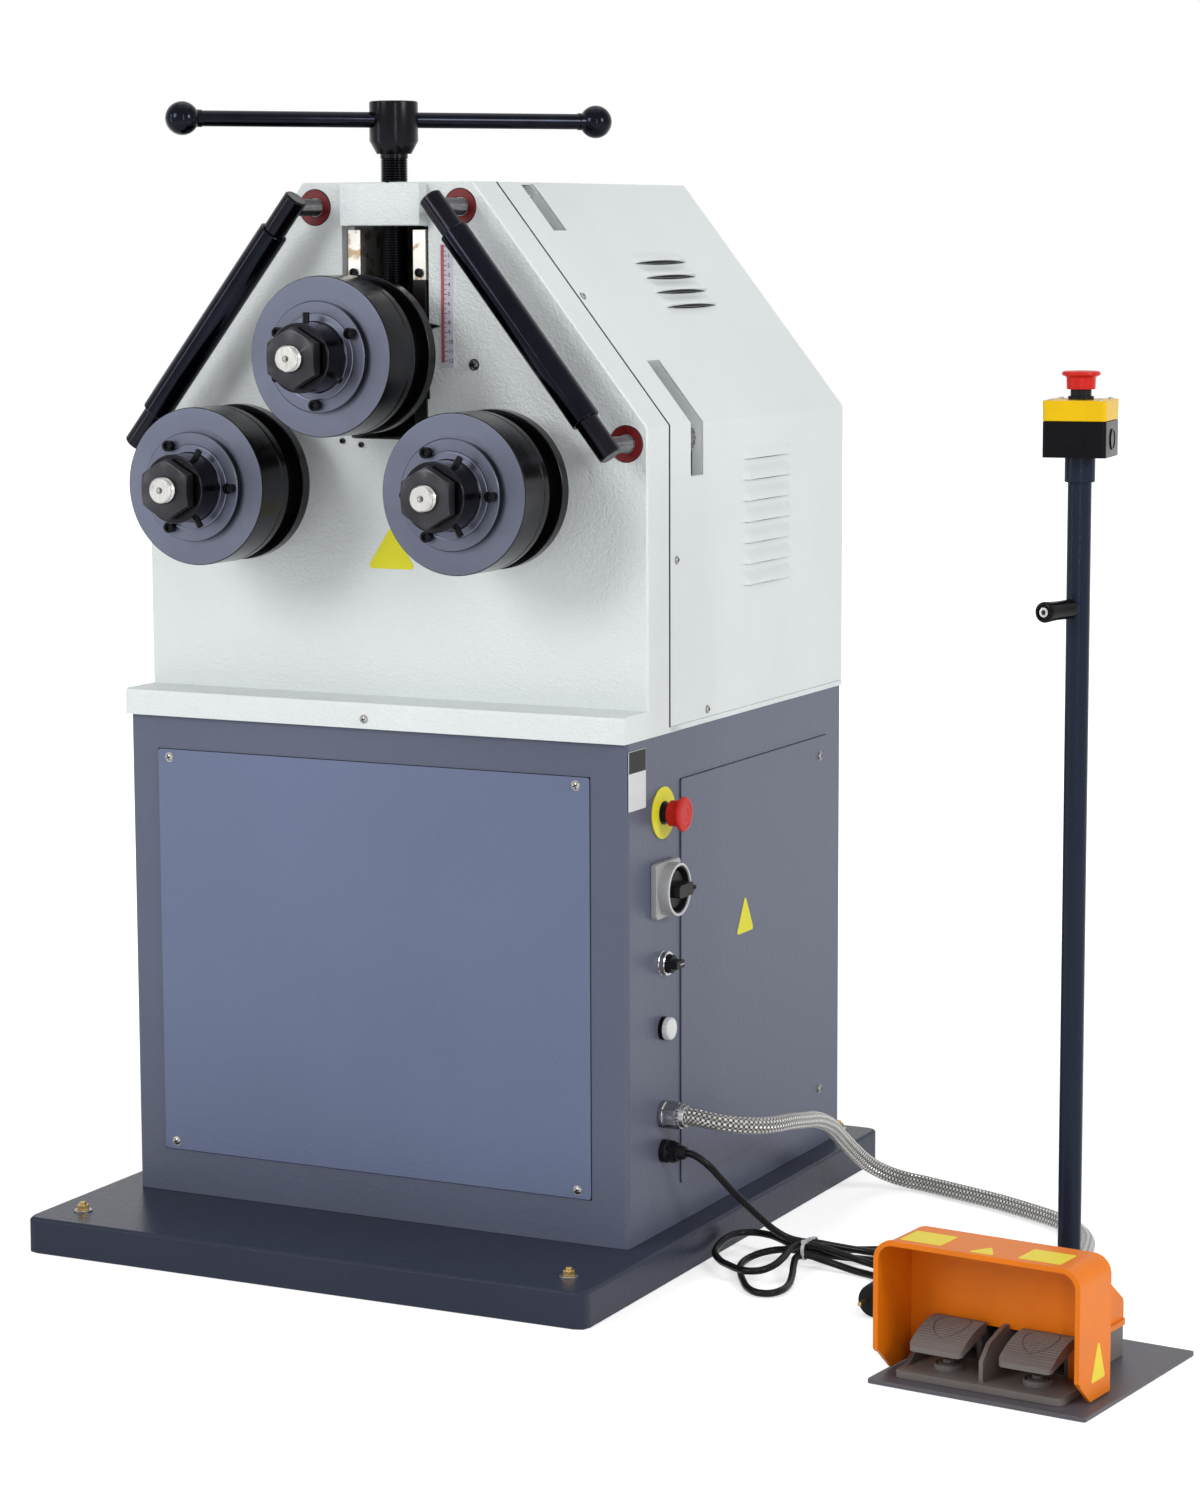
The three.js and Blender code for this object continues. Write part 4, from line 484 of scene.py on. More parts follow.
# Colour, roughness, grain and shine.
PLASTICS = {
    "black": ((0.009, 0.009, 0.010), 0.32, 1.0, 0.1),
    "glossy black": ((0.004, 0.004, 0.005), 0.13, 0.3, 0.07),
    "guard": ("guard", 0.34, 1.2, 0.18),
    "pedal": ("pedal", 0.42, 2.0, 0.26),
    "stop": ("stop", 0.26, 0.5, 0.12),
    "signal": ("signal", 0.38, 0.5, 0.2),
    "lid": ("lid", 0.28, 0.6, 0.15),
    "silver": ((0.34, 0.345, 0.35), 0.34, 1.0, 0.5),
    "tie": ((0.50, 0.51, 0.52), 0.35, 0.5, 0.4),
    "motor": ((0.16, 0.18, 0.21), 0.35, 2.0, 0.4),
}
# Colour, roughness.
STEELS = {
    "black": ((0.008, 0.008, 0.010), 0.19),
    "glossy": ((0.006, 0.007, 0.012), 0.1),
    "matt": ((0.009, 0.009, 0.013), 0.17),
    "thread": ((0.105, 0.105, 0.11), 0.2),
    "worn": ((0.032, 0.031, 0.035), 0.3),
    "bright": ((0.42, 0.415, 0.41), 0.25),
}
PLATINGS = {
    "zinc": ((0.34, 0.335, 0.325), 0.3),
    "yellow zinc": ((0.42, 0.30, 0.12), 0.3),
    "dark": ((0.10, 0.10, 0.105), 0.33),
    "nickel": ((0.36, 0.36, 0.37), 0.24),
    "chrome": ((0.50, 0.50, 0.51), 0.12),
}
INKS = {
    "white": (0.55, 0.54, 0.62),
    "silver": (0.60, 0.61, 0.62),
    "black": (0.012, 0.012, 0.014),
    "band": (0.40, 0.10, 0.13),
    "sticker": (0.74, 0.60, 0.05),
}


@made_once
def slate_paint(name, kind):
    look = Look(name)
    # The cover's colour carries painted sheen and the plinth's carries painted shade.
    colour = getattr(colours(), kind)
    gloss = {"slate": 0.34, "cover": 0.34, "plinth": 0.24, "pole": 0.14}[kind]
    cloud = look.noise(2.2, 3.0).between(0.3, 0.7)
    speck = look.noise(260, 2.0).between(0.62, 0.75)
    base = look.mix(shaded(colour, 0.93), shaded(colour, 1.07), cloud)
    base = look.mix(base, shaded(colour, 1.35), speck * 0.25)
    peel = look.noise(420, 2.0) + look.noise(120, 1.0) * 0.6
    shine = {"pole": 0.08, "plinth": 0.12}.get(kind, 0.2)
    return look.finish(base, cloud * 0.07 + gloss, 0.0, peel, 0.0006, 0.5,
                       specular_ior_level=shine)


@made_once
def pale_paint(name, kind):
    look = Look(name)
    colour = colours().pale
    grain = {"cast": 1.9, "sheet": 0.45}[kind]
    cloud = look.noise(3.0, 3.0).between(0.3, 0.7)
    base = look.mix(shaded(colour, 0.96), shaded(colour, 1.03), cloud)
    stipple = look.noise(330, 3.0) + look.noise(130, 2.0) * 0.7
    return look.finish(base, look.noise(40, 2.0).between(0.3, 0.7, 0.3, 0.42), 0.0, stipple,
                       0.0009 * grain, 0.6, specular_ior_level=0.3)


@made_once
def blued_steel(name, kind):
    """Turned and blackened steel, with the rings that the lathe left; its ends are satin."""
    look = Look(name)
    rings = look.node("ShaderNodeUVMap", {"uv_map": "turning"})
    across, along, _ = look.axes(rings)
    line = across * 2100 + along * 1700
    tool = look.node("ShaderNodeTexNoise", {"noise_dimensions": "1D"}, {
        "W": line, "Scale": 1.0, "Detail": 3.0})
    broad = look.noise(14, 3.0).between(0.35, 0.65)
    low, high, share = {"roll": (-0.1023, -0.1017, 1.0), "flange": (-0.1118, -0.1101, 0.95)}[kind]
    ends = (along > low) * (along < high) * share
    side = look.mix(shaded(colours().blued, 0.7), shaded(colours().blued, 1.25), tool)
    face = look.mix(shaded(colours().satin, 0.78), shaded(colours().satin, 1.12),
                    (tool * 0.6 + broad * 0.4).clamp())
    rough = tool.between(0.3, 0.7, 0.16, 0.24) + ends * 0.16
    return look.finish(look.mix(side, face, ends), rough, 0.9, tool, 0.0001, 0.5)


@made_once
def black_steel(name, kind):
    look = Look(name)
    colour, gloss = STEELS[kind]
    cloud = look.noise(25, 3.0).between(0.3, 0.7)
    dust = look.noise(420, 2.0).between(0.70, 0.76)
    base = look.mix(shaded(colour, 0.75), shaded(colour, 1.25), cloud)
    base = look.mix(base, (0.12, 0.12, 0.13), dust * 0.08)
    return look.finish(base, cloud * 0.06 + gloss, 0.9, look.noise(300, 2.0), 0.0001, 0.25)


@made_once
def bright_steel(name):
    look = Look(name)
    fine = look.noise(1.0, 3.0, look.stretched(900, 900, 60))
    stain = look.noise(60, 4.0).between(0.6, 0.72)
    base = look.mix((0.40, 0.395, 0.385), (0.54, 0.535, 0.52), fine)
    base = look.mix(base, (0.20, 0.16, 0.11), stain * 0.35)
    return look.finish(base, fine * 0.12 + 0.22, 1.0, fine, 0.0001, 0.4)


@made_once
def gib_steel(name):
    """Bright above the clamp screws, oiled and dark below them."""
    look = Look(name)
    _, _, height = look.axes(look.place())
    upper = height.between(1.1355, 1.1365)
    stain = look.noise(62, 5.0).between(0.53, 0.60)
    bright = look.mix((0.52, 0.51, 0.48), (0.24, 0.14, 0.045), stain * 0.75)
    base = look.mix((0.018, 0.018, 0.020), bright, upper)
    return look.finish(base, upper * 0.15 + 0.28, upper * 0.3 + 0.6, look.noise(300, 2.0),
                       0.0002, 0.4)


@made_once
def machined(name):
    look = Look(name)
    fine = look.noise(1.0, 3.0, look.stretched(500, 60, 500))
    oil = look.noise(24, 4.0).between(0.35, 0.7)
    base = look.mix((0.20, 0.20, 0.205), (0.09, 0.085, 0.08), oil)
    return look.finish(base, fine * 0.2 + 0.25, 0.9, fine, 0.0002, 0.4)


@made_once
def moulded(name, kind):
    """Injection-moulded plastic with a fine spark-eroded grain."""
    look = Look(name)
    colour, gloss, grain, shine = PLASTICS[kind]
    tone = getattr(colours(), colour) if isinstance(colour, str) else colour
    cloud = look.noise(18, 3.0).between(0.3, 0.7)
    base = look.mix(shaded(tone, 0.93), shaded(tone, 1.05), cloud)
    return look.finish(base, cloud * 0.1 + gloss, 0.0, look.noise(900, 2.0), 0.0003 * grain, 0.5,
                       specular_ior_level=shine)


@made_once
def red_paint(name):
    look = Look(name)
    worn = look.noise(140, 3.0).between(0.4, 0.65)
    base = look.mix((0.15, 0.004, 0.006), (0.10, 0.003, 0.004), worn)
    return look.finish(base, 0.45, 0.0, look.noise(500, 2.0), 0.0002, 0.5,
                       specular_ior_level=0.3)


@made_once
def clear_lens(name):
    look = Look(name)
    _, across, up = look.axes(look.place())
    ribs = (across * 2600).sin() * (up * 2600).sin()
    base = look.mix((0.78, 0.78, 0.78), (0.52, 0.53, 0.55), ribs.between(-1, 1))
    return look.finish(base, 0.12, 0.0, ribs, 0.0003, 0.6, coat_weight=0.6, coat_roughness=0.05)


@made_once
def braid(name):
    """Strands of wire plaited in two directions, with painted light and shade on them; the UV map runs round and
    along the hose.
    """
    look = Look(name)
    round_hose, along, _ = look.axes(look.node("ShaderNodeUVMap", {"uv_map": "winding"}))
    right = (round_hose * 10 + along / 0.0056) * math.pi
    left = (round_hose * 10 - along / 0.0056) * math.pi
    over = (right.sin() * left.sin()) > 0.0
    strand = abs(right.sin()) * abs(left.sin())
    wires = over * abs((right * 3).sin()) + (1 - over) * abs((left * 3).sin())
    height = strand.between(0.10, 0.40) * (wires * 0.4 + 0.6)
    # One direction of strands is lighter and the other darker: painted light and shade on the same wire.
    strand_light_and_shade = look.mix((0.42, 0.41, 0.385), (0.86, 0.85, 0.82), over)
    # Dark towards the strands' edges and in the grooves between wires: painted shade.
    base = look.mix((0.010, 0.010, 0.010), strand_light_and_shade, height)
    return look.finish(base, 0.28, 0.85, height, 0.0018, 0.9)


@made_once
def rubber(name):
    look = Look(name)
    cloud = look.noise(50, 2.0)
    base = look.mix((0.005, 0.005, 0.006), (0.010, 0.010, 0.011), cloud)
    return look.finish(base, cloud * 0.12 + 0.22, 0.0, look.noise(500, 2.0), 0.0001, 0.4,
                       specular_ior_level=0.12)


@made_once
def plate_paint(name):
    look = Look(name)
    scuff = look.noise(1.0, 4.0, look.stretched(18, 140, 18, 0.6)).between(0.6, 0.75)
    base = look.mix((0.088, 0.084, 0.098), (0.14, 0.135, 0.15), scuff * 0.5)
    return look.finish(base, 0.42, 0.15, look.noise(520, 2.0), 0.0003, 0.5,
                       specular_ior_level=0.22)


@made_once
def printed(name, kind):
    look = Look(name)
    colour = INKS[kind] if kind in INKS else getattr(colours(), kind)
    fade = look.noise(90, 3.0)
    base = look.mix(shaded(colour, 0.95), shaded(colour, 1.04), fade)
    return look.finish(base, fade * 0.1 + 0.38, 0.0, look.noise(300, 2.0), 0.0001, 0.3,
                       specular_ior_level=0.12)


@made_once
def plated(name, kind):
    look = Look(name)
    colour, gloss = PLATINGS[kind]
    spangle = look.noise(240, 3.0)
    base = look.mix(shaded(colour, 0.8), shaded(colour, 1.1), spangle)
    return look.finish(base, spangle * 0.08 + gloss, 1.0, spangle, 0.0001, 0.3)


# Small fasteners, drawn at the origin with their heads along +Z.
def pan_screw(radius, kind="zinc"):
    """A pan head with a cross recess, on a thin washer; black blocks in the recess are painted shade."""
    head = turned("pan", [
        (0, -0.4), (radius * 1.2, -0.4), (radius * 1.2, 0.5), (radius, 0.5),
        (radius * 0.98, radius * 0.3), (radius * 0.7, radius * 0.52), (radius * 0.3, radius * 0.6),
        (0, radius * 0.62)], 32)
    recess_shades = []
    for turn in (0.4, 0.4 + math.pi / 2):
        room = Matrix.Rotation(turn, 4, "Z")
        reach, width = radius * 0.68, radius * 0.15
        trim(head, block("slit", (-reach, -width, radius * 0.24), (reach, width, radius), room))
        # Black blocks at the bottom of the recess: painted shade.
        recess_shades.append(dress(block("floor", (-reach, -width, radius * 0.2),
                                  (reach, width, radius * 0.3), room), printed("black")))
    dress(broken(head, 0.15, 1), plated(kind))
    return joined("pan", [head, *recess_shades])


def socket_screw(radius, height, reach=0.6, kind="black"):
    """A cylinder head with a hexagon socket; a black hexagon at the socket's floor is painted shade."""
    head = turned("cap", [
        (0, -0.4), (radius, -0.4), (radius, height - 0.5), (radius - 0.5, height), (0, height)], 40)
    bottom = height * (1 - reach)
    trim(head, prism("key", ring_points(radius * 0.56, 6), bottom, height + 1,
                     group=Matrix.Identity(4)))
    dress(broken(head, 0.2, 1), black_steel(kind))
    # A black hexagon at the bottom of the socket: painted shade.
    floor = prism("floor", ring_points(radius * 0.55, 6), bottom - 0.1, bottom + 0.05,
                  group=Matrix.Identity(4))
    return joined("cap", [head, dress(floor, printed("black"))])


def hexagon_head(across, height):
    head = prism("hexagon", ring_points(across / math.sqrt(3), 6), 0, height,
                 group=Matrix.Identity(4))
    outer = across / math.sqrt(3) + 0.1
    trim(head, turned("chamfer", [
        (0, -1), (outer, -1), (outer, height - (outer - across / 2) * 0.6),
        (across / 2 - 0.3, height), (0, height)], 48), "INTERSECT")
    return head


# Cords.
CONDUIT = [
    (374, 91, 181.7), (389, 92.5, 179.5), (407, 99, 176.5), (424, 113, 173.3), (435, 133, 170),
    (441, 160, 166.5), (442, 195, 162), (440, 235, 154.5), (433, 294, 142), (423, 362, 119),
    (415, 417, 91), (413, 462, 64), (418, 500, 39), (431, 528, 22), (450, 541, 13.5),
    (478, 542, 10.5), (530, 523, 10.4), (592, 499, 10.4), (655, 467, 10.4), (691, 444, 10.4),
    (722, 414, 10.4), (746, 375, 10.4), (760, 331, 10.4), (774, 270, 10.4), (788, 205, 10.4),
    (800, 150, 10.4), (808, 108, 12), (810.4, 76, 17.5), (808.3, 48, 21.5),
]
LEAD_DROP = [
    (366, 91, 138.3), (374, 91.5, 135.5), (386, 97, 125), (395, 108, 109.5), (404, 121, 92.5),
    (415, 134, 75), (428, 147, 56.5), (441, 158, 41),
]
LEAD_OUT = [
    (455, 168, 30.5), (470, 171.5, 27.5), (486, 180, 25.5), (502, 193, 20.5), (540, 223, 9.5),
    (592, 238, 5),
]
LEAD_LEFT = [
    (600, 302, 5), (553, 262, 6), (505, 214, 11), (486, 190, 15), (470, 178, 17.5),
    (452, 183, 18.5), (432, 196, 19.5), (413, 206, 20), (392, 208, 20), (377, 195, 20),
    (371.5, 168, 18), (375, 137, 12.5), (393, 111, 11), (415, 88, 13.5), (434, 72, 15.5),
    (450, 66, 16.5), (463, 72, 17.5), (471, 90, 20), (472, 115, 23.5), (470, 138, 27),
    (473, 155, 28), (486, 168, 26), (504, 177, 19.5), (542, 184, 9), (596, 171, 5),
]
LEAD_FRONT = [
    (600, 214, 5), (553, 205, 6), (505, 188, 10), (486, 174, 15), (470, 166.5, 17.5),
    (452, 170, 16), (434, 171.5, 12.5), (420, 165, 9), (412, 150, 6), (414, 124, 5),
    (428, 92, 5), (445, 62, 5), (462, 38, 5), (478, 27, 5), (492, 30, 5), (499, 46, 5),
    (497, 72, 5), (489, 100, 8), (479, 128, 13), (475, 145, 16), (483, 156, 16.5),
    (502, 162, 11), (540, 158, 5), (578, 143, 5), (602, 118, 6), (615, 98, 10.5), (622, 84, 15),
]


def half_turn(x, y, radius, count=5):
    angles = [math.pi * (i / (count - 1) - 0.5) for i in range(count)]
    return [(x + radius * math.cos(a), y + radius * math.sin(a), 5) for a in angles]


def smooth_path(points, samples=14):
    """A centripetal curve through the points."""
    points = [Vector(point) for point in points]
    points = [2 * points[0] - points[1], *points, 2 * points[-1] - points[-2]]
    path = []
    for i in range(1, len(points) - 2):
        a, b, c, d = points[i - 1:i + 3]
        first, step, last = [max((q - p).length, 1e-6) ** 0.5 for p, q in ((a, b), (b, c), (c, d))]
        leave = ((b - a) / first - (c - a) / (first + step) + (c - b) / step) * step
        arrive = ((c - b) / step - (d - b) / (step + last) + (d - c) / last) * step
        for k in range(samples):
            t = k / samples
            path.append(b + t * leave + t * t * (3 * (c - b) - 2 * leave - arrive)
                        + t * t * t * (2 * (b - c) + leave + arrive))
    path.append(points[-2])
    return path


def even(path, pitch):
    """The same path with its points a pitch apart."""
    lengths = [0.0]
    for p, q in zip(path, path[1:]):
        lengths.append(lengths[-1] + (q - p).length)
    count = max(2, round(lengths[-1] / pitch))
    result, i = [], 0
    for k in range(count + 1):
        target = lengths[-1] * k / count
        while i < len(lengths) - 2 and lengths[i + 1] < target:
            i += 1
        share = (target - lengths[i]) / (lengths[i + 1] - lengths[i])
        result.append(path[i].lerp(path[i + 1], min(1.0, share)))
    return result, lengths[-1]


def hose(name, path, radius, sides):
    """A closed tube along a path, with a UV map that runs round it and along it."""
    corners, faces, marks = [], [], []
    direction = (path[1] - path[0]).normalized()
    side = direction.orthogonal().normalized()
    travelled = 0.0
    for i, point in enumerate(path):
        ahead = path[min(i + 1, len(path) - 1)] - path[max(i - 1, 0)]
        side = (side - ahead.normalized() * side.dot(ahead.normalized())).normalized()
        other = ahead.normalized().cross(side)
        travelled += (point - path[i - 1]).length if i else 0.0
        marks.append(travelled)
        for k in range(sides):
            angle = 2 * math.pi * k / sides
            corners.append(point + radius * (math.cos(angle) * side + math.sin(angle) * other))
    for i in range(len(path) - 1):
        for k in range(sides):
            after = (k + 1) % sides
            faces.append((i * sides + k, i * sides + after, (i + 1) * sides + after,
                          (i + 1) * sides + k))
    faces.append(tuple(reversed(range(sides))))
    faces.append(tuple(range((len(path) - 1) * sides, len(path) * sides)))
    mesh = bpy.data.meshes.new(name)
    mesh.from_pydata([corner * MM for corner in corners], [], faces)
    winding = mesh.uv_layers.new(name="winding")
    for face in mesh.polygons[:-2]:
        i, k = divmod(face.index, sides)
        for loop, (row, column) in zip(face.loop_indices, ((i, k), (i, k + 1), (i + 1, k + 1),
                                                           (i + 1, k))):
            winding.data[loop].uv = (column / sides, marks[row] * MM)
    piece = bpy.data.objects.new(name, mesh)
    bpy.context.collection.objects.link(piece)
    put(piece, MACHINE)
    bpy.ops.object.shade_smooth_by_angle(angle=math.radians(60))
    return piece


class RingRollerCords(Operator):
    """The steel-sheathed conduit, and the mains lead with its tied hank and plug"""
    bl_idname = "ring_roller.cords"
    bl_label = "Cords"

    def execute(self, context):
        self.conduit()
        plug = self.plug()
        self.lead(plug)
        return {"FINISHED"}

    def conduit(self):
        start = (361.3, 91, 181.7)
        entry = MACHINE.inverted() @ STATION
        ends = [(entry @ (Vector(p) * MM)) / MM for p in ((66, 232.3, 22), (66, 222.3, 22))]
        path, length = even(smooth_path([start, *CONDUIT, *ends]), 5)
        piece = hose("conduit_braid", path, 9.9, 24)
        done(piece, "machine", "conduit_steel", braid(), "conduit")
        rows = [MACHINE @ (point * MM) for point in path]
        length * MM

    def lead(self, plug):
        start, end = (360.3, 91, 138.6), (628, 74.3, 19.4)
        points = [start, *LEAD_DROP, *LEAD_OUT, *half_turn(647, 274, 36), *LEAD_LEFT,
                  *half_turn(641, 194, 30), *LEAD_FRONT, (628, 82.8, 19.4), end]
        path, length = even(smooth_path(points), 4)
        piece = hose("mains_lead", path, 4.2, 16)
        done(piece, "machine", "cable_rubber", rubber(), "mains_drop", "mains_hank")
        tie = self.tie()
        rows = [MACHINE @ (point * MM) for point in path]
        length * MM

    def plug(self):
        body = turned("plug", [
            (0, 0), (17, 0), (18.6, 1), (19, 2.5), (19, 16), (18.2, 18), (18.2, 21), (19, 23),
            (19, 37), (17, 42), (12, 49), (7.4, 55), (6.5, 57), (6.1, 58.5), (6.5, 60), (6.1, 61.5),
            (6.5, 63), (6.1, 64.5), (6.5, 66), (6.3, 68), (0, 68)], 48)
        broken(put(body, MACHINE @ spot(628, 6, 19.4) @ ALONG["y"]), 0.3, 1)
        done(body, "machine", "black_plastic", moulded("black"), "mains_plug")
        pin = turned("plug_pins", [(0, 0), (1.6, 0), (2.35, 1.2), (2.35, 19.4), (0, 19.4)], 24)
        pins = copies("plug_pins", pin, [MACHINE @ spot(628 + s * 9.5, -13, 19.4) @ ALONG["y"]
                                         for s in (-1, 1)])
        broken(pins, 0.1, 1)
        done(pins, "machine", "bright_steel", plated("yellow zinc"))
        pins.parent = None
        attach(pins, "machine")
        return body

    def tie(self):
        outline = rounded(box_outline(147.2, 10.9, 190.5, 31.6), [7] * 4, 6)
        inner = rounded(box_outline(148.3, 12.0, 189.4, 30.5), [6] * 4, 6)
        band = prism("cable_tie", outline, 478.5, 482.5, "x")
        trim(band, prism("room", inner, 476, 485, "x"))
        head = block("head", (478, 150, 30.7), (483, 156, 34.6))
        tail = block("tail", (479, 155, 33.2), (482, 172, 34.0))
        band = broken(joined("cable_tie", [band, head, tail]), 0.2, 1)
        return done(band, "machine", "black_plastic", moulded("tie"))


class RingRollerStand(Operator):
    """Plinth, cabinet and covers, with their screws, anchors and bare plates"""
    bl_idname = "ring_roller.stand"
    bl_label = "Stand"

    def execute(self, context):
        # The front cover takes a lighter copy of the slate paint, as painted sheen.
        for node, width in (("base_plinth", 3.0), ("cabinet", 2.2), ("front_cover", 0.7),
                            ("side_cover", 0.7)):
            # The plinth takes a darker copy of the slate paint, as painted shade.
            done(skin(node, width), "machine", "slate_paint", slate_paint(
                {"base_plinth": "plinth", "front_cover": "cover"}.get(node, "slate")), node)
        self.seals()
        self.screws()
        self.anchors()
        self.plates()
        return {"FINISHED"}

    def seals(self):
        """Black strips behind each cover that show as a line round it: painted shadow."""
        for node, thin in (("front_cover", 1), ("side_cover", 0)):
            low, high = ([part / MM for part in corner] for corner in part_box(node))
            for axis in range(3):
                if axis != thin:
                    low[axis], high[axis] = low[axis] - 0.7, high[axis] + 0.7
            low[thin], high[thin] = (high[1] - 0.3, high[1] + 0.3) if thin else (
                low[0] - 0.3, low[0] + 0.3)
            # A black strip a little larger than the cover, behind it: painted shadow.
            seal = block(node + "_seal", low, high, Matrix.Identity(4))
            done(seal, "machine", "cable_rubber", rubber())

    def screws(self):
        front = [facing((x, -2, z), (0, -1, 0)) for x in (-275, 266.5) for z in (573, 106)]
        side = [facing((332, y, z), (1, 0, 0)) for y, z in ((540, 541.6), (542, 117.5))]
        screws = copies("cover_screws", pan_screw(sizes().cover_screw / MM), front + side)
        done(screws, "machine", "bright_steel", None)

    def anchors(self):
        places = [(x, y) for x in (-328.6, 317.4) for y in (-124.7, 638.7)]
        washer = turned("washer", [(5.2, -0.2), (11, -0.2), (11, 1.6), (5.2, 1.6), (5.2, -0.2)], 40)
        head = hexagon_head(13, 6.5)
        put(head, Matrix.Translation((0, 0, 1.6 * MM)))
        bolt = turned("bolt", [(0, -6), (4.9, -6), (4.9, 1.7), (0, 1.7)], 32)
        tip = turned("tip", [(0, 7.5), (3.9, 7.5), (3.9, 10.5), (3.3, 11.2), (0, 11.2)], 32)
        spots = [MACHINE @ spot(x, y, 42.6) for x, y in places]
        washers = broken(copies("anchor_washers", washer, spots), 0.3, 1)
        done(washers, "machine", "bright_steel", plated("zinc"))
        bolts = broken(copies("anchor_bolts", joined("anchor", [head, bolt, tip]), spots), 0.3, 1)
        done(bolts, "machine", "bright_steel", plated("yellow zinc"))

    def plates(self):
        """Plain plates, with nothing written or drawn on them."""
        plate = prism("rating_plate", rounded(box_outline(2.5, 545.5, 46.5, 613.5), [1] * 4, 3),
                      330.05, 330.6, "x")
        done(broken(plate, 0.15, 1), "machine", "silver_plastic", printed("silver"))
        head = prism("rating_plate_head", box_outline(3.2, 588.5, 45.8, 613.0), 330.55, 330.75, "x")
        done(head, "machine", "black_plastic", printed("black"))
        sign = prism("cover_plate", rounded([(290, 357), (339, 357), (315, 402)], [3] * 3, 5),
                     332.0, 332.5, "x")
        done(broken(sign, 0.15, 1), "machine", "yellow_plastic", printed("signal"))


class RingRollerFront(Operator):
    """Cast front with its gibs, washers, scale and screws"""
    bl_idname = "ring_roller.front"
    bl_label = "Cast Front"

    def execute(self, context):
        casting = skin("front_casting")
        for low, high in ((-60, -50), (50, 54)):
            trim(casting, block("rebate", (low, FACE - 1, 1000), (high, FACE + 13, 1197)))
        done(broken(casting, 1.2, 3), "machine", "pale_paint", pale_paint("cast"),
             "front_casting")
        for side in ("left", "right"):
            node = "gib_" + side
            done(skin(node, 0.5), "machine", "bright_steel", gib_steel(), node)
        self.washers()
        self.screws()
        self.scale()
        sign = prism("casting_plate", rounded([(-31.5, 803), (33.5, 803), (1, 853)], [4] * 3, 5),
                     50.9, 51.45, "y")
        done(broken(sign, 0.15, 1), "machine", "yellow_plastic", printed("signal"))
        return {"FINISHED"}

    def washers(self):
        radius = sizes().washer / MM
        washer = turned("stud_washers", [
            (10.8, 0), (radius, 0), (radius, 0.7), (radius - 0.6, 1.2), (11.4, 1.2), (10.8, 0.7),
            (10.8, 0)], 64)
        spots = [facing((side * x, FACE, z), (0, -1, 0)) for side in (-1, 1)
                 for x, z in STUDS.values()]
        done(copies("stud_washers", washer, spots), "machine", "red_plastic", red_paint())
        # A black ring round each washer's edge: painted shade.
        rim = turned("washer_rims", [(radius - 0.1, 0), (radius + 0.6, 0), (radius + 0.6, 0.4),
                                     (radius - 0.1, 1.0), (radius - 0.1, 0)], 64)
        done(copies("washer_rims", rim, spots), "machine", "black_plastic", printed("black"))

    def screws(self):
        front = (0, -1, 0)
        cap = copies("gib_screws", socket_screw(5.0, 3.6), [
            facing((x, 49.5, 1144), front) for x in (-43, 43)])
        done(cap, "machine", "dark_steel", None)
        small = copies("slide_screws", socket_screw(3.2, 3.4, kind="worn"), [
            facing((-62, FACE, 950), front), facing((-37, FACE, 946), front)])
        done(small, "machine", "dark_steel", None)
        plug = copies("face_screw", pan_screw(5.6, "dark"), [facing((112, FACE, 1040), front)])
        done(plug, "machine", "dark_steel", None)
        foot = copies("foot_screw", pan_screw(4.4), [facing((-4, -8.5, 634), front)])
        done(foot, "machine", "bright_steel", None)

    def scale(self):
        """A printed strip: a red band, graduations and numbers."""
        left, right, low, high = 69.7, 86.0, 1036, 1176
        strip = prism("scale_strip", box_outline(left, low, right, high), 51.0, 51.45, "y")
        done(strip, "machine", "white_lens", printed("white"))
        band = prism("scale_band", box_outline(left + 0.4, low + 6, left + 4.6, high - 0.4), 50.9,
                     51.1, "y")
        done(band, "machine", "red_plastic", printed("band"))
        ticks = []
        for i in range(25):
            z = low + 8 + i * 5.4
            reach = 3.6 if i % 2 == 0 else 2.2
            ticks.append(block("tick", (left + 4.8, 50.85, z - 0.4),
                               (left + 4.8 + reach, 51.1, z + 0.4)))
        for i in range(13):
            bpy.ops.object.text_add()
            text = bpy.context.object
            text.data.body, text.data.size = str(12 - i), 0.0066
            text.data.align_x, text.data.align_y = "LEFT", "CENTER"
            text.data.extrude = 0.0001
            hold(text)
            bpy.ops.object.convert(target="MESH")
            put(bpy.context.object, facing((left + 9.2, 50.95, low + 8 + i * 10.8), (0, -1, 0)))
            ticks.append(bpy.context.object)
        done(joined("scale_marks", ticks), "machine", "black_plastic", printed("black"))


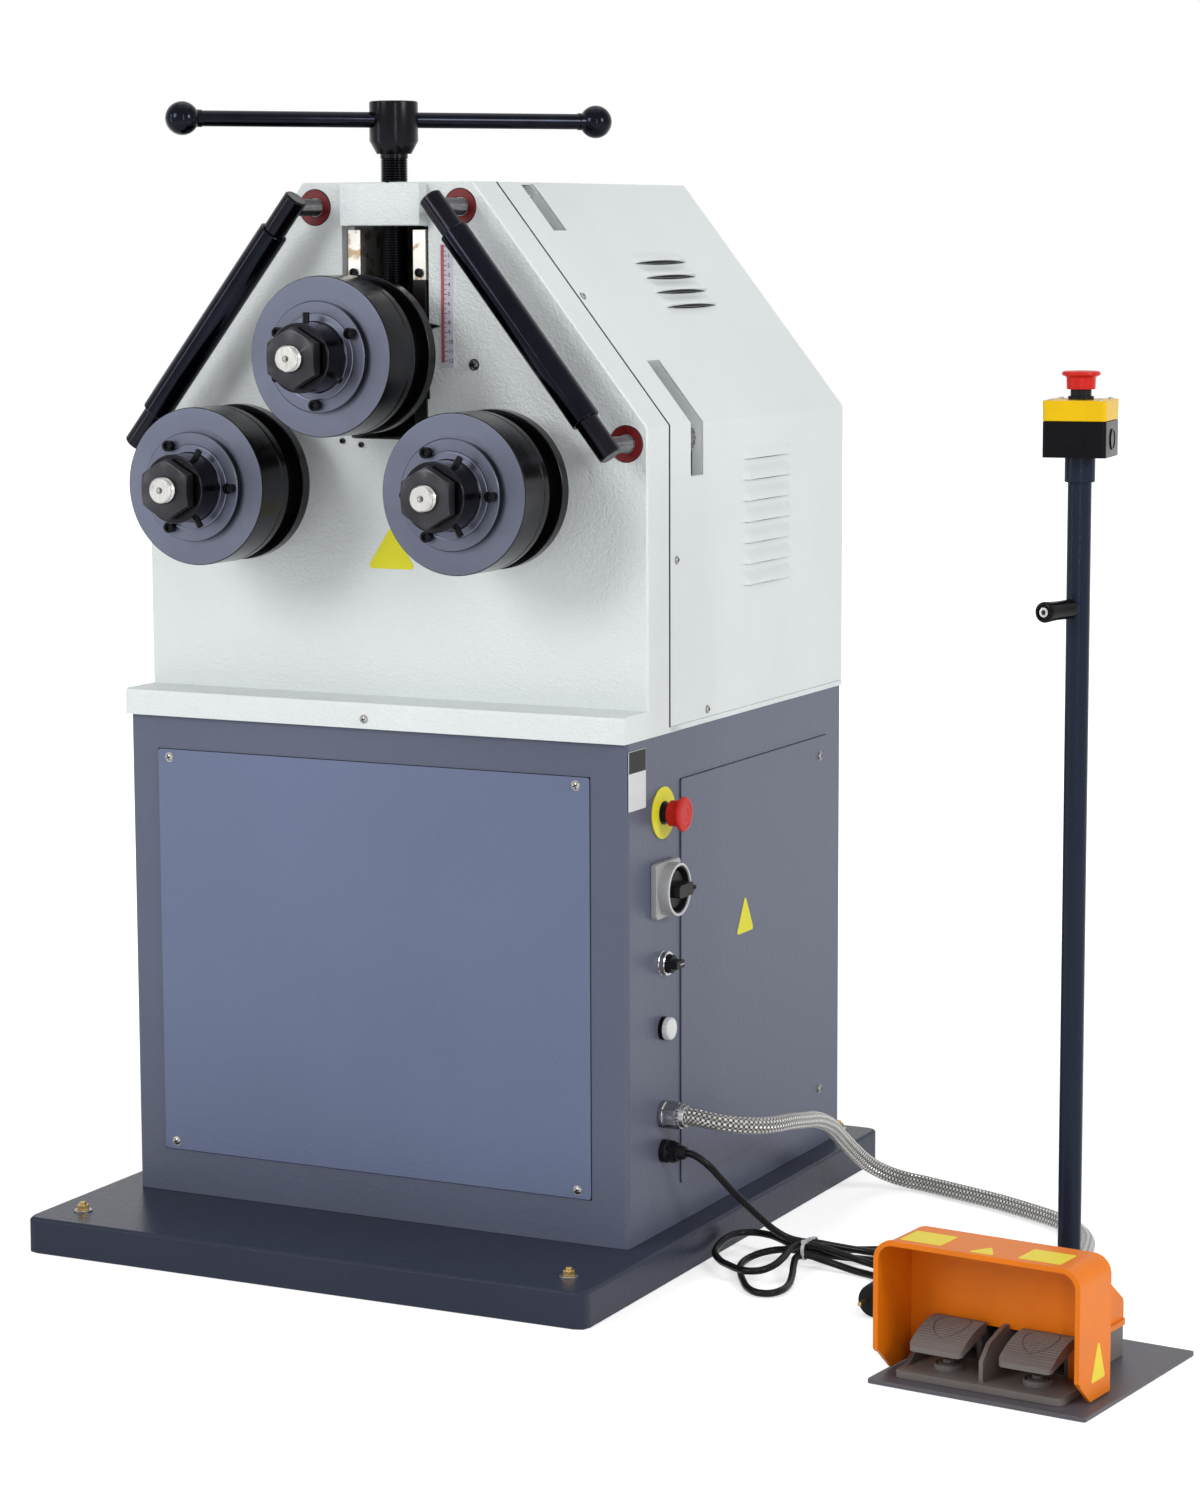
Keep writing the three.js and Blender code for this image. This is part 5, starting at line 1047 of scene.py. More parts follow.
class RingRollerSlide(Operator):
    """Carriage, pressure spindle and its handle bar"""
    bl_idname = "ring_roller.slide"
    bl_label = "Slide and Spindle"

    def execute(self, context):
        done(skin("carriage", 0.5), "carriage", "blued_steel", black_steel("black"), "carriage")
        blade = prism("pointer_blade", [(44, 1076.5), (71, 1083.0), (71, 1084.0), (44, 1089.5)],
                      44.2, 48.6, "y")
        done(broken(blade, 0.3, 1), "carriage", "blued_steel", black_steel("worn"))
        self.spindle()
        self.handle()
        return {"FINISHED"}

    def spindle(self):
        pitch = sizes().thread_pitch / MM
        thread = [(16.0, 1100), (16.0, 1103)]
        for i in range(int((1275 - 1103) / pitch)):
            z = 1103 + i * pitch
            thread += [(14.7, z + pitch * 0.35), (14.7, z + pitch * 0.6), (15.95, z + pitch * 0.95)]
        screw = turned("spindle_screw", [
            (0, 1085.3), (15, 1085.3), (16, 1086.3), (16, 1092), (12, 1092), (12, 1100), *thread,
            (15.9, 1278.6), (20, 1278.6), (28, 1293.3), (28, 1336.3), (27.2, 1337.8),
            (25.6, 1338.5), (0, 1338.5)])
        put(screw, MACHINE @ spot(0, 69.5, 0))
        cross = turned("cross", [(0, -60), (9.3, -60), (9.3, 60), (0, 60)], 48)
        trim(screw, put(cross, self.along_bar()))
        broken(screw, 0.25, 1)
        done(screw, "spindle", "blued_steel", black_steel("black"), "spindle")

    def along_bar(self):
        azimuth = math.radians(50)
        return facing((0, 69.5, 1317), (math.cos(azimuth), math.sin(azimuth), 0))

    def handle(self):
        ball, neck, reach = 19, 9.9, 252
        start = math.asin(neck / ball)
        end = reach - math.sqrt(ball ** 2 - neck ** 2)
        half = [(9, end - 6.4), (9.5, end - 6.4), (9.9, end - 5.8), (9.9, end - 0.6)]
        for i in range(25):
            angle = math.pi - start - i / 24 * (math.pi - start)
            half.append((ball * math.sin(angle), reach + ball * math.cos(angle)))
        half[-1] = (0, reach + ball)
        bar = turned("handle_rod", [(r, -z) for r, z in reversed(half)] + half)
        put(bar, self.along_bar())
        smooth(bar, 30)
        done(bar, "spindle", "black_paint", black_steel("glossy"), "handle_bar")


class RingRollerRolls(Operator):
    """Three rolls, each with its flange, nut, clamp screws and shaft"""
    bl_idname = "ring_roller.rolls"
    bl_label = "Rolls"

    def execute(self, context):
        places = {"left": (-SPREAD, LOW_AXIS), "right": (SPREAD, LOW_AXIS), "top": (0, TOP_AXIS)}
        for name, place in places.items():
            self.roll(name, *place)
        return {"FINISHED"}

    def roll(self, name, x, z):
        body = name + "_roller"
        seat = MACHINE @ spot(x, 0, z) @ ALONG["y"]
        rolls = turned(name + "_rolls", [
            (25.3, -102), (88.4, -102), (89.6, -101.4), (90, -100.2), (90, -58.4), (88.7, -57.2),
            (88.7, -56.8), (90, -55.6), (90, -45.6), (89.4, -45), (75, -45), (75, -13), (89.4, -13),
            (90, -12.4), (90, 1.4), (88.6, 3), (25.3, 3), (25.3, -102)], 144)
        put(rolls, seat)
        done(broken(rolls, 0.35, 2), body, "blued_steel", blued_steel("roll"),
             name + "_roll_set")
        flange = turned(name + "_flange", [
            (25.3, -149), (37.8, -149), (39, -147.8), (39, -113), (40.5, -111.3), (47, -111.3),
            (47.6, -110.6), (48.6, -110.6), (49.2, -111), (61.2, -111), (62.5, -109.7),
            (62.5, -102), (25.3, -102), (25.3, -149)])
        put(flange, seat)
        done(broken(flange, 0.25, 1), body, "blued_steel", blued_steel("flange"),
             name + "_roll_flange")
        self.nut(name, body, x, z)
        self.clamps(name, body, x, z)
        self.shaft(name, body, seat)

    def nut(self, name, body, x, z):
        nut = prism(name + "_nut", [(a, b) for a, b in ring_points(34.64, 6, math.pi / 2)], -167,
                    -153, "y", MACHINE @ spot(x, 0, z))
        cone = turned("cone", [(0, -167), (29.4, -167), (34.8, -164), (34.8, -150), (0, -150)], 72)
        trim(nut, put(cone, MACHINE @ spot(x, 0, z) @ ALONG["y"]), "INTERSECT")
        collar = turned("collar", [(14.8, -153.3), (25.6, -153.3), (26, -152.9), (26, -149),
                                   (14.8, -149), (14.8, -153.3)], 72)
        trim(nut, put(collar, MACHINE @ spot(x, 0, z) @ ALONG["y"]), "UNION")
        bore = turned("bore", [(0, -170), (16.6, -170), (14.8, -165.6), (14.8, -140), (0, -140)],
                      72)
        trim(nut, put(bore, MACHINE @ spot(x, 0, z) @ ALONG["y"]))
        broken(nut, 0.35, 2)
        done(nut, body, "blued_steel", black_steel("worn"), name + "_roll_nut")

    def clamps(self, name, body, x, z):
        """Cap screws that clamp the flange, and set screws round its hub."""
        axial = (0, 120, 240) if name != "top" else (-90, 30, 150)
        radial = (180, 60, -60) if name != "top" else (90, 210, 330)
        caps = copies(name + "_cap_screws", socket_screw(6.4, 8.0, 0.45), [
            facing((x + 53.5 * math.cos(a), -111, z + 53.5 * math.sin(a)), (0, -1, 0))
            for a in map(math.radians, axial)])
        done(caps, body, "dark_steel", None)
        sets = copies(name + "_set_screws", socket_screw(3.9, 11.5, 0.3), [
            facing((x + 38.6 * math.cos(a), -131, z + 38.6 * math.sin(a)),
                   (math.cos(a), 0, math.sin(a))) for a in map(math.radians, radial)])
        done(sets, body, "dark_steel", None)

    def shaft(self, name, body, seat):
        front = [(0, -166), (1.8, -168), (1.8, -172.5), (3.8, -174.6), (3.8, -176), (12.9, -176),
                 (14.5, -174.4)]
        for i in range(5):
            y = -173.4 + i * 1.6
            front += [(14.5, y), (13.9, y + 0.6), (13.9, y + 0.9), (14.5, y + 1.4)]
        front += [(14.5, -148), (25, -148), (25, 3.3), (38, 3.3)]
        if name == "top":
            rear = [(38, 38), (36.3, 39.7), (25, 39.7), (25, 120), (32, 120), (32, 129), (0, 129)]
            steel = turned("top_axle", front + rear)
        else:
            rear = [(38, 49.4), (36.2, 51.2), (30, 51.2), (30, 199.7), (22.5, 199.7), (22.5, 273),
                    (21.5, 274), (0, 274)]
            steel = turned(name + "_axle", front + rear)
        put(steel, seat)
        broken(steel, 0.2, 1)
        done(steel, body, "bright_steel", bright_steel(), name + "_shaft")


class RingRollerGuides(Operator):
    """Guide arms with threaded studs, turning sleeves and captive nuts"""
    bl_idname = "ring_roller.guides"
    bl_label = "Guide Arms"

    def execute(self, context):
        for name, side in (("left", -1), ("right", 1)):
            self.arm(name, side)
        return {"FINISHED"}

    def arm(self, name, side):
        (top_x, top_z), (low_x, low_z) = STUDS["top"], STUDS["low"]
        run, rise = side * (top_x - low_x), top_z - low_z
        half = math.hypot(run, rise) / 2
        middle = (side * (top_x + low_x) / 2, -4, (top_z + low_z) / 2)
        lay = facing(middle, (run, 0, rise))
        reach = half + 14
        rod = turned(name + "_guide_rod", [
            (0, 0.4 - reach), (11.6, -reach), (13.5, 1.9 - reach), (13.5, reach - 1.9),
            (11.6, reach), (0, reach - 0.4)], 64)
        put(rod, lay)
        dress(rod, black_steel("matt"))
        studs = [self.stud(side * x, z) for x, z in STUDS.values()]
        arm = joined(name + "_guide_arm", [rod, *studs])
        broken(arm, 0.2, 1)
        done(arm, name + "_arm", "blued_steel", None, "guide_arm_" + name)
        length = half - 35.5
        sleeve = turned(name + "_sleeve", [
            (14.2, -length), (16.4, -length), (17, 0.8 - length), (17, length - 0.8),
            (16.4, length), (14.2, length), (14.2, -length)])
        put(sleeve, lay)
        broken(sleeve, 0.25, 2)
        done(sleeve, name + "_sleeve", "blued_steel", black_steel("glossy"),
             "guide_sleeve_" + name)
        for place in STUDS:
            node = f"thumb_nut_{place}_{name}"
            done(skin(node, 0.3, 1), f"nut_{place}_{name}", "blued_steel", machined(), node)

    def stud(self, x, z):
        pitch = sizes().stud_pitch / MM
        thread = [(0, -4), (9.2, -4), (9.2, 3)]
        for i in range(int(62 / pitch)):
            y = 3 + i * pitch
            thread += [(9.75, y), (8.3, y + pitch * 0.45), (9.75, y + pitch * 0.9)]
        stud = turned("stud", [*thread, (9.7, 66), (9.7, 93), (10, 93.3), (10, 212.5), (8.5, 214), (0, 214)], 48)
        dress(stud, black_steel("thread"))
        return put(stud, MACHINE @ spot(x, 0, z) @ ALONG["y"])


class RingRollerCowl(Operator):
    """Cowl with its wheel slots, pressed louvres with painted shade in their mouths, painted shadow line and
    screws, and the drive inside it
    """
    bl_idname = "ring_roller.cowl"
    bl_label = "Cowl and Drive"
    side, shoulder, top, top_half = 331.0, 973.0, 1246.7, 112.0
    front, back, low, sheet = 110.3, 611.0, 629.3, 3.0

    def execute(self, context):
        run, rise = self.side - self.top_half, self.top - self.shoulder
        self.slope = math.hypot(run, rise)
        self.up = Vector((-run / self.slope, rise / self.slope))
        self.out = Vector((rise / self.slope, run / self.slope))
        self.hood()
        self.slot_walls()
        self.louvres()
        self.seal()
        self.screws()
        done(skin("rear_bearing_plate", 1.0), "machine", "pale_paint", pale_paint("cast"),
             "rear_bearing_plate")
        done(skin("gearmotor", 0.8), "machine", "motor_paint", moulded("motor"), "gearmotor")
        for node in ("gear_left", "gear_right", "drive_pinion"):
            dress(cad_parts[node], machined())
        return {"FINISHED"}

    def slope_point(self, along, out):
        return tuple(Vector((self.side, self.shoulder)) + self.up * along + self.out * out)

    def shoulder_point(self, inset):
        """Where the side and the slope meet, set in by the same distance."""
        level = self.out.dot((self.side, self.shoulder)) - inset
        x = self.side - inset
        return x, (level - self.out.x * x) / self.out.y

    def hoop(self, inset, low):
        x, z = self.shoulder_point(inset)
        level = self.out.dot((self.side, self.shoulder)) - inset
        ridge = (level - self.out.y * (self.top - inset)) / self.out.x
        half = [(x, low), (x, z), (ridge, self.top - inset)]
        return half + [(-px, pz) for px, pz in reversed(half)]

    def slot_outlines(self, depth, rim, end):
        """The upper and the lower slot on the right, seen from the front."""
        high, low = self.slope + 12, self.slope - 70.5 - end
        upper = [self.slope_point(low, -depth), self.slope_point(low, rim),
                 self.slope_point(high, rim), self.slope_point(high, -depth)]
        foot, head = self.shoulder - 61 - end, 90 + end
        lower = [(self.side - depth, foot), (self.side + rim, foot), self.shoulder_point(-rim),
                 self.slope_point(head, rim), self.slope_point(head, -depth),
                 self.shoulder_point(depth)]
        return upper, lower

    def both(self, outlines):
        return [[(side * x, z) for x, z in points] for points in outlines for side in (1, -1)]

    def hood(self):
        hood = prism("cowl_hood", self.hoop(0, self.low), self.front, self.back, "y")
        trim(hood, prism("room", self.hoop(self.sheet, self.low - 5), self.front - 5,
                         self.back - self.sheet, "y"))
        for points in self.both(self.slot_outlines(5, 2, 0)):
            trim(hood, prism("slot", points, 166, 200, "y"))
        broken(hood, 1.3, 3)
        done(hood, "machine", "pale_paint", pale_paint("sheet"), "rear_cowl")
        outer = box_outline(-self.side, self.front, self.side, self.back)
        hem = prism("cowl_hem", outer, 623.05, self.low - 0.1)
        inner = box_outline(3 - self.side, self.front - 5, self.side - 3, self.back - 3)
        trim(hem, prism("room", inner, 620, 640))
        done(broken(hem, 0.4, 1), "machine", "pale_paint", pale_paint("sheet"))

    def slot_walls(self):
        """Sheet folded in round each slot, clear of the nut behind it."""
        walls = []
        for outer, inner in zip(self.both(self.slot_outlines(15, -3.05, 2.2)),
                                self.both(self.slot_outlines(40, 3, 0))):
            wall = prism("cowl_slot_walls", outer, 163.6, 202.4, "y")
            trim(wall, prism("slot", inner, 166, 200, "y"))
            trim(wall, prism("band", self.hoop(3.05, 700), 100, 300, "y"), "INTERSECT")
            walls.append(wall)
        done(broken(joined("cowl_slot_walls", walls), 0.2, 1), "machine", "pale_paint",
             pale_paint("sheet"))

    def scoop(self, height, proud, half):
        """One louvre, drawn with its mouth at z 0: x out of the sheet, y along it."""
        corners = [(proud * (0.5 + 0.5 * math.cos(math.pi * i / 10)) ** 0.85, 0, height * i / 10)
                   for i in range(11)]
        piece = wire("louvre", [(-0.4, 0, 0), *corners, (-0.4, 0, height), (-0.4, 0, 0)])
        bpy.ops.mesh.remove_doubles(threshold=MM / 200)
        bpy.ops.mesh.edge_face_add()
        steps = [0, *(half - 16 * (1 - i / 6) for i in range(7))]
        scale = 1.0
        for i, (before, after) in enumerate(zip(steps, steps[1:])):
            bpy.ops.mesh.extrude_region_move(
                TRANSFORM_OT_translate={"value": (0, (after - before) * MM, 0)})
            share = max(0.5 + 0.5 * math.cos(math.pi * i / 6), 0.07)
            bpy.ops.transform.resize(
                value=(share / scale, 1, (0.7 + 0.3 * share) / (0.7 + 0.3 * scale)),
                center_override=(-0.4 * MM, 0, 0))
            scale = share
        tidy()
        hold(piece)
        mirror = piece.modifiers.new("Mirror", "MIRROR")
        mirror.use_axis = (False, True, False)
        mirror.use_bisect_axis = (False, True, False)
        bpy.ops.object.modifier_apply(modifier=mirror.name)
        bpy.ops.object.mode_set(mode="EDIT")
        tidy()
        return smooth(piece, 40)

    def mouth(self, proud, half, below):
        """Black pieces as painted shade: one in the opening under a louvre, and a shadow on the sheet beneath
        its lip.
        """
        def bow(reach):
            return [(reach * (1 - (y / half) ** 2), y) for y in (
                half * (2 * i / 24 - 1) for i in range(1, 24))]
        opening = prism("opening", bow(proud) + [(0.3, half * 0.9), (0.3, -half * 0.9)], -0.12, 0.3,
                        group=Matrix.Identity(4))
        # A thin black sheet on the panel under the lip: painted shadow.
        slit = wire("slit", [(0, y, -drop) for drop, y in bow(below)])
        bpy.ops.mesh.edge_face_add()
        bpy.ops.mesh.extrude_region_move(TRANSFORM_OT_translate={"value": (0.25 * MM, 0, 0)})
        tidy()
        hold(slit)
        return joined("louvre_mouth", [opening, slit])

    def louvres(self):
        rows = []
        for i in range(7):
            rows.append(spot(self.side, 379, 924.2 - 24.9 * i))
        tilt = Matrix(((self.out.x, 0, self.up.x, 0), (0, 1, 0, 0), (self.out.y, 0, self.up.y, 0),
                       (0, 0, 0, 1)))
        for i in range(4):
            x, z = self.slope_point(229 - 22 * i, 0)
            rows.append(spot(x, 383, z) @ tilt)
        turn = Matrix.Rotation(math.pi, 4, "Z")
        places = [MACHINE @ row for row in rows] + [
            MACHINE @ spot(0, 2 * y, 0) @ turn @ row
            for row, y in zip(rows, [379] * 7 + [383] * 4)]
        done(copies("cowl_louvres", self.scoop(17, 6.2, 75), places), "machine", "pale_paint",
             pale_paint("sheet"))
        # The black pieces in and under the louvres are painted shade.
        mouth_shades = [copies(name, self.mouth(5.4, 73, below), [places[i] for i in picked])
                  for name, below, picked in (("side_mouths", 1.7, (*range(7), *range(11, 18))),
                                              ("slope_mouths", 2.6, (7, 8, 9, 10, 18, 19, 20, 21)))]
        done(joined("louvre_mouths", mouth_shades), "machine", "black_plastic", printed("black"))

    def seal(self):
        """A black band in the seam between the casting and the cowl: painted shadow."""
        seal = prism("cowl_seal", self.hoop(0.2, 623.2), 107.4, 111, "y")
        trim(seal, prism("room", self.hoop(2.8, 600), 100, 120, "y"))
        done(seal, "machine", "cable_rubber", printed("black"))

    def screws(self):
        places = []
        for side in (-1, 1):
            places += [facing((side * 215.8, 121, 1117), (side * self.out.x, 0, self.out.y)),
                       facing((side * 331, 127, 819), (side, 0, 0)),
                       facing((side * 331, 210, 638.5), (side, 0, 0))]
        screws = copies("cowl_screws", pan_screw(4.2), places)
        done(screws, "machine", "bright_steel", None)


def on_panel(height):
    return MACHINE @ spot(HALF_CABINET, CONTROLS_Y, height) @ ALONG["x"]


def stop_button(name, matrix, body, node):
    """A mushroom button with a raised grip ring on its face."""
    button = turned(name, [
        (0, 8.4), (8, 8.4), (8, 23), (11.3, 23), (11.3, 11), (11.8, 10.7), (14.4, 10.7),
        (15, 11.3), (15.2, 21.6), (15.8, 23.2), (17.6, 24.4), (19.4, 25.0), (20, 25.8),
        (20, 27.4), (19.2, 28.8), (17.4, 29.4), (15.4, 29.4), (14.9, 28.9), (13.9, 28.9),
        (13.4, 29.3), (8, 29.3), (7.5, 28.8), (0, 28.8)], 96)
    put(button, matrix)
    smooth(button, 38)
    return done(button, body, "red_plastic", moulded("stop"), node)


def stop_neck(name, matrix):
    neck = turned(name, [
        (0, 2.0), (8.4, 2.0), (8.4, 15.8), (10.4, 15.8), (10.9, 15.3), (10.9, 3.8), (13.5, 3.5),
        (13.5, 0.1), (0, 0.1)], 64)
    return broken(put(neck, matrix), 0.3, 2)


class RingRollerControls(Operator):
    """Stop, isolator, selector, lamp and glands on the cabinet's side"""
    bl_idname = "ring_roller.controls"
    bl_label = "Controls"

    def execute(self, context):
        self.stop()
        self.isolator()
        self.selector()
        self.lamp()
        self.glands()
        return {"FINISHED"}

    def stop(self):
        seat = on_panel(533.3)
        ring = turned("stop_ring", [(0, 0.02), (29.6, 0.02), (30, 0.5), (30, 1.6), (29.5, 2),
                                    (0, 2)], 96)
        put(ring, seat)
        smooth(ring, 30)
        done(ring, "machine", "yellow_plastic", moulded("signal"), "estop_base")
        neck = put(stop_neck("stop_neck", Matrix.Identity(4)), seat)
        done(neck, "machine", "black_plastic", moulded("black"))
        stop_button("stop_mushroom", seat, "side_stop", "side_estop_button")

    def isolator(self):
        seat = on_panel(446)
        y, z, half = CONTROLS_Y, 446, 32
        outline = rounded(box_outline(y - half, z - half, y + half, z + half), [5] * 4)
        plate = broken(prism("isolator_frame", outline, 330.02, 338, "x"), 1.2, 3)
        done(plate, "machine", "silver_plastic", moulded("silver"),
             "isolator_plate")
        drum = turned("isolator_drum", [
            (0, 7), (30.6, 7), (30.6, 19.6), (30, 21.4), (29, 22), (28, 21.6), (27.4, 20.6),
            (27.4, 12), (0, 12)], 96)
        smooth(put(drum, seat), 30)
        dress(drum, moulded("silver"))
        # The chrome ring is drawn in pale matte ink: a painted highlight in place of its reflection.
        rim = put(turned("rim", [(27.6, 21.4), (30.3, 21.4), (30.3, 22), (29.6, 22.5), (28.3, 22.5),
                                 (27.6, 22), (27.6, 21.4)], 96), seat)
        dress(smooth(rim, 30), printed("silver"))
        done(joined("isolator_drum", [drum, rim]), "machine", "silver_plastic", None)
        cup = turned("isolator_cup", [
            (0, 12.1), (27.3, 12.1), (27.3, 20.4), (25.6, 20.4), (23.5, 13), (0, 13)], 96)
        put(cup, seat)
        smooth(cup, 30)
        done(cup, "machine", "black_plastic", moulded("black"))
        core = turned("core", [(0, 13.05), (23, 13.05), (23, 14.5), (21.5, 16), (0, 16)], 64)
        put(core, seat)
        lever = prism("isolator_lever", [
            (y - 20, z - 5), (y - 16, z - 7.5), (y + 15, z - 7.5), (y + 20, z - 3),
            (y + 20, z + 3), (y + 15, z + 7.5), (y - 16, z + 7.5), (y - 20, z + 5)], 345, 361,
            "x")
        eye = put(turned("eye", [(2.6, -2), (5.4, -2), (5.4, 2), (2.6, 2), (2.6, -2)], 32),
                  MACHINE @ spot(357, y + 21, z) @ ALONG["z"])
        lever = broken(joined("isolator_lever", [core, lever, eye]), 0.8, 2)
        done(lever, "isolator", "black_plastic", moulded("black"), "isolator_knob")

    def selector(self):
        seat = on_panel(358.8)
        y, z = CONTROLS_Y, 358.8
        bezel = turned("selector_ring", [
            (0, 0.05), (14.25, 0.05), (14.25, 0.9), (13.6, 1.5), (13.6, 5.8), (14.2, 6.4),
            (14.2, 7.4), (13.4, 8.2), (11.6, 8.2), (11, 7.6), (11, 4), (0, 4)], 96)
        put(bezel, seat)
        smooth(bezel, 30)
        done(bezel, "machine", "bright_steel", plated("chrome"), "selector_bezel")
        core = put(turned("core", [(0, 4.3), (10.6, 4.3), (10.6, 13.4), (10, 14), (0, 14)], 64),
                   seat)
        lever = prism("lever", rounded(box_outline(y - 10.4, z - 4.6, y + 10.4, z + 4.6), [1.5] * 4,
                                       4), 343, 353, "x")
        knob = broken(joined("selector_lever", [core, lever]), 0.4, 2)
        done(knob, "selector", "black_plastic", moulded("black"), "selector_knob")
        mark = prism("selector_mark", box_outline(y - 1, z - 0.6, y + 9.2, z + 0.6), 352.9, 353.15,
                     "x")
        done(mark, "selector", "white_lens", printed("white"))

    def lamp(self):
        seat = on_panel(282.8)
        bezel = turned("lamp_ring", [(0, 0.05), (13.6, 0.05), (13.6, 4), (13, 5), (0, 5)], 96)
        put(bezel, seat)
        smooth(bezel, 30)
        done(bezel, "machine", "bright_steel", moulded("glossy black"), "pilot_lamp")
        lens = turned("lamp_cap", [
            (0, 5.05), (13.2, 5.05), (13.4, 5.6), (13.2, 10.4), (12.4, 12), (10.6, 12.9), (7, 13),
            (0, 13)], 96)
        put(lens, seat)
        smooth(lens, 40)
        done(lens, "machine", "white_lens", clear_lens(), "lamp_lens")

    def glands(self):
        for name, height, base, top, across, hex_top, nose, end, nose_top, look in (
                ("conduit_gland", 181.7, 16, 6, 28.6, 22, 13.5, 12, 31, plated("nickel")),
                ("cable_gland", 138.6, 13.5, 8, 23, 17, 9.5, 6.5, 30, moulded("black"))):
            bore = 8.2 if name == "conduit_gland" else 4.3
            seat = on_panel(height)
            shell = turned("shell", [
                (0, 0.05), (base - 0.6, 0.05), (base, 0.6), (base, top - 1), (base - 1, top),
                (nose + 0.6, hex_top), (nose, hex_top + 1), (end + 0.8, nose_top - 1.2),
                (end, nose_top), (bore, nose_top), (bore, nose_top - 4), (0, nose_top - 4)], 64)
            put(shell, seat)
            hexagon = prism("hexagon", ring_points(across / math.sqrt(3), 6), top * 0.6,
                            hex_top - 0.8, group=seat)
            knurls = prism("ribs", [point for i in range(24) for point in (
                (math.cos(i * math.pi / 12) * (nose + 1.6), math.sin(i * math.pi / 12) * (nose + 1.6)),
                (math.cos((i + 0.5) * math.pi / 12) * (nose + 0.7),
                 math.sin((i + 0.5) * math.pi / 12) * (nose + 0.7)))], hex_top - 1, hex_top + 3.5,
                group=seat)
            gland = broken(joined(name + "_body", [shell, hexagon, knurls]), 0.35, 2)
            slot = "dark_steel" if name == "conduit_gland" else "black_plastic"
            done(gland, "machine", slot, look, name)


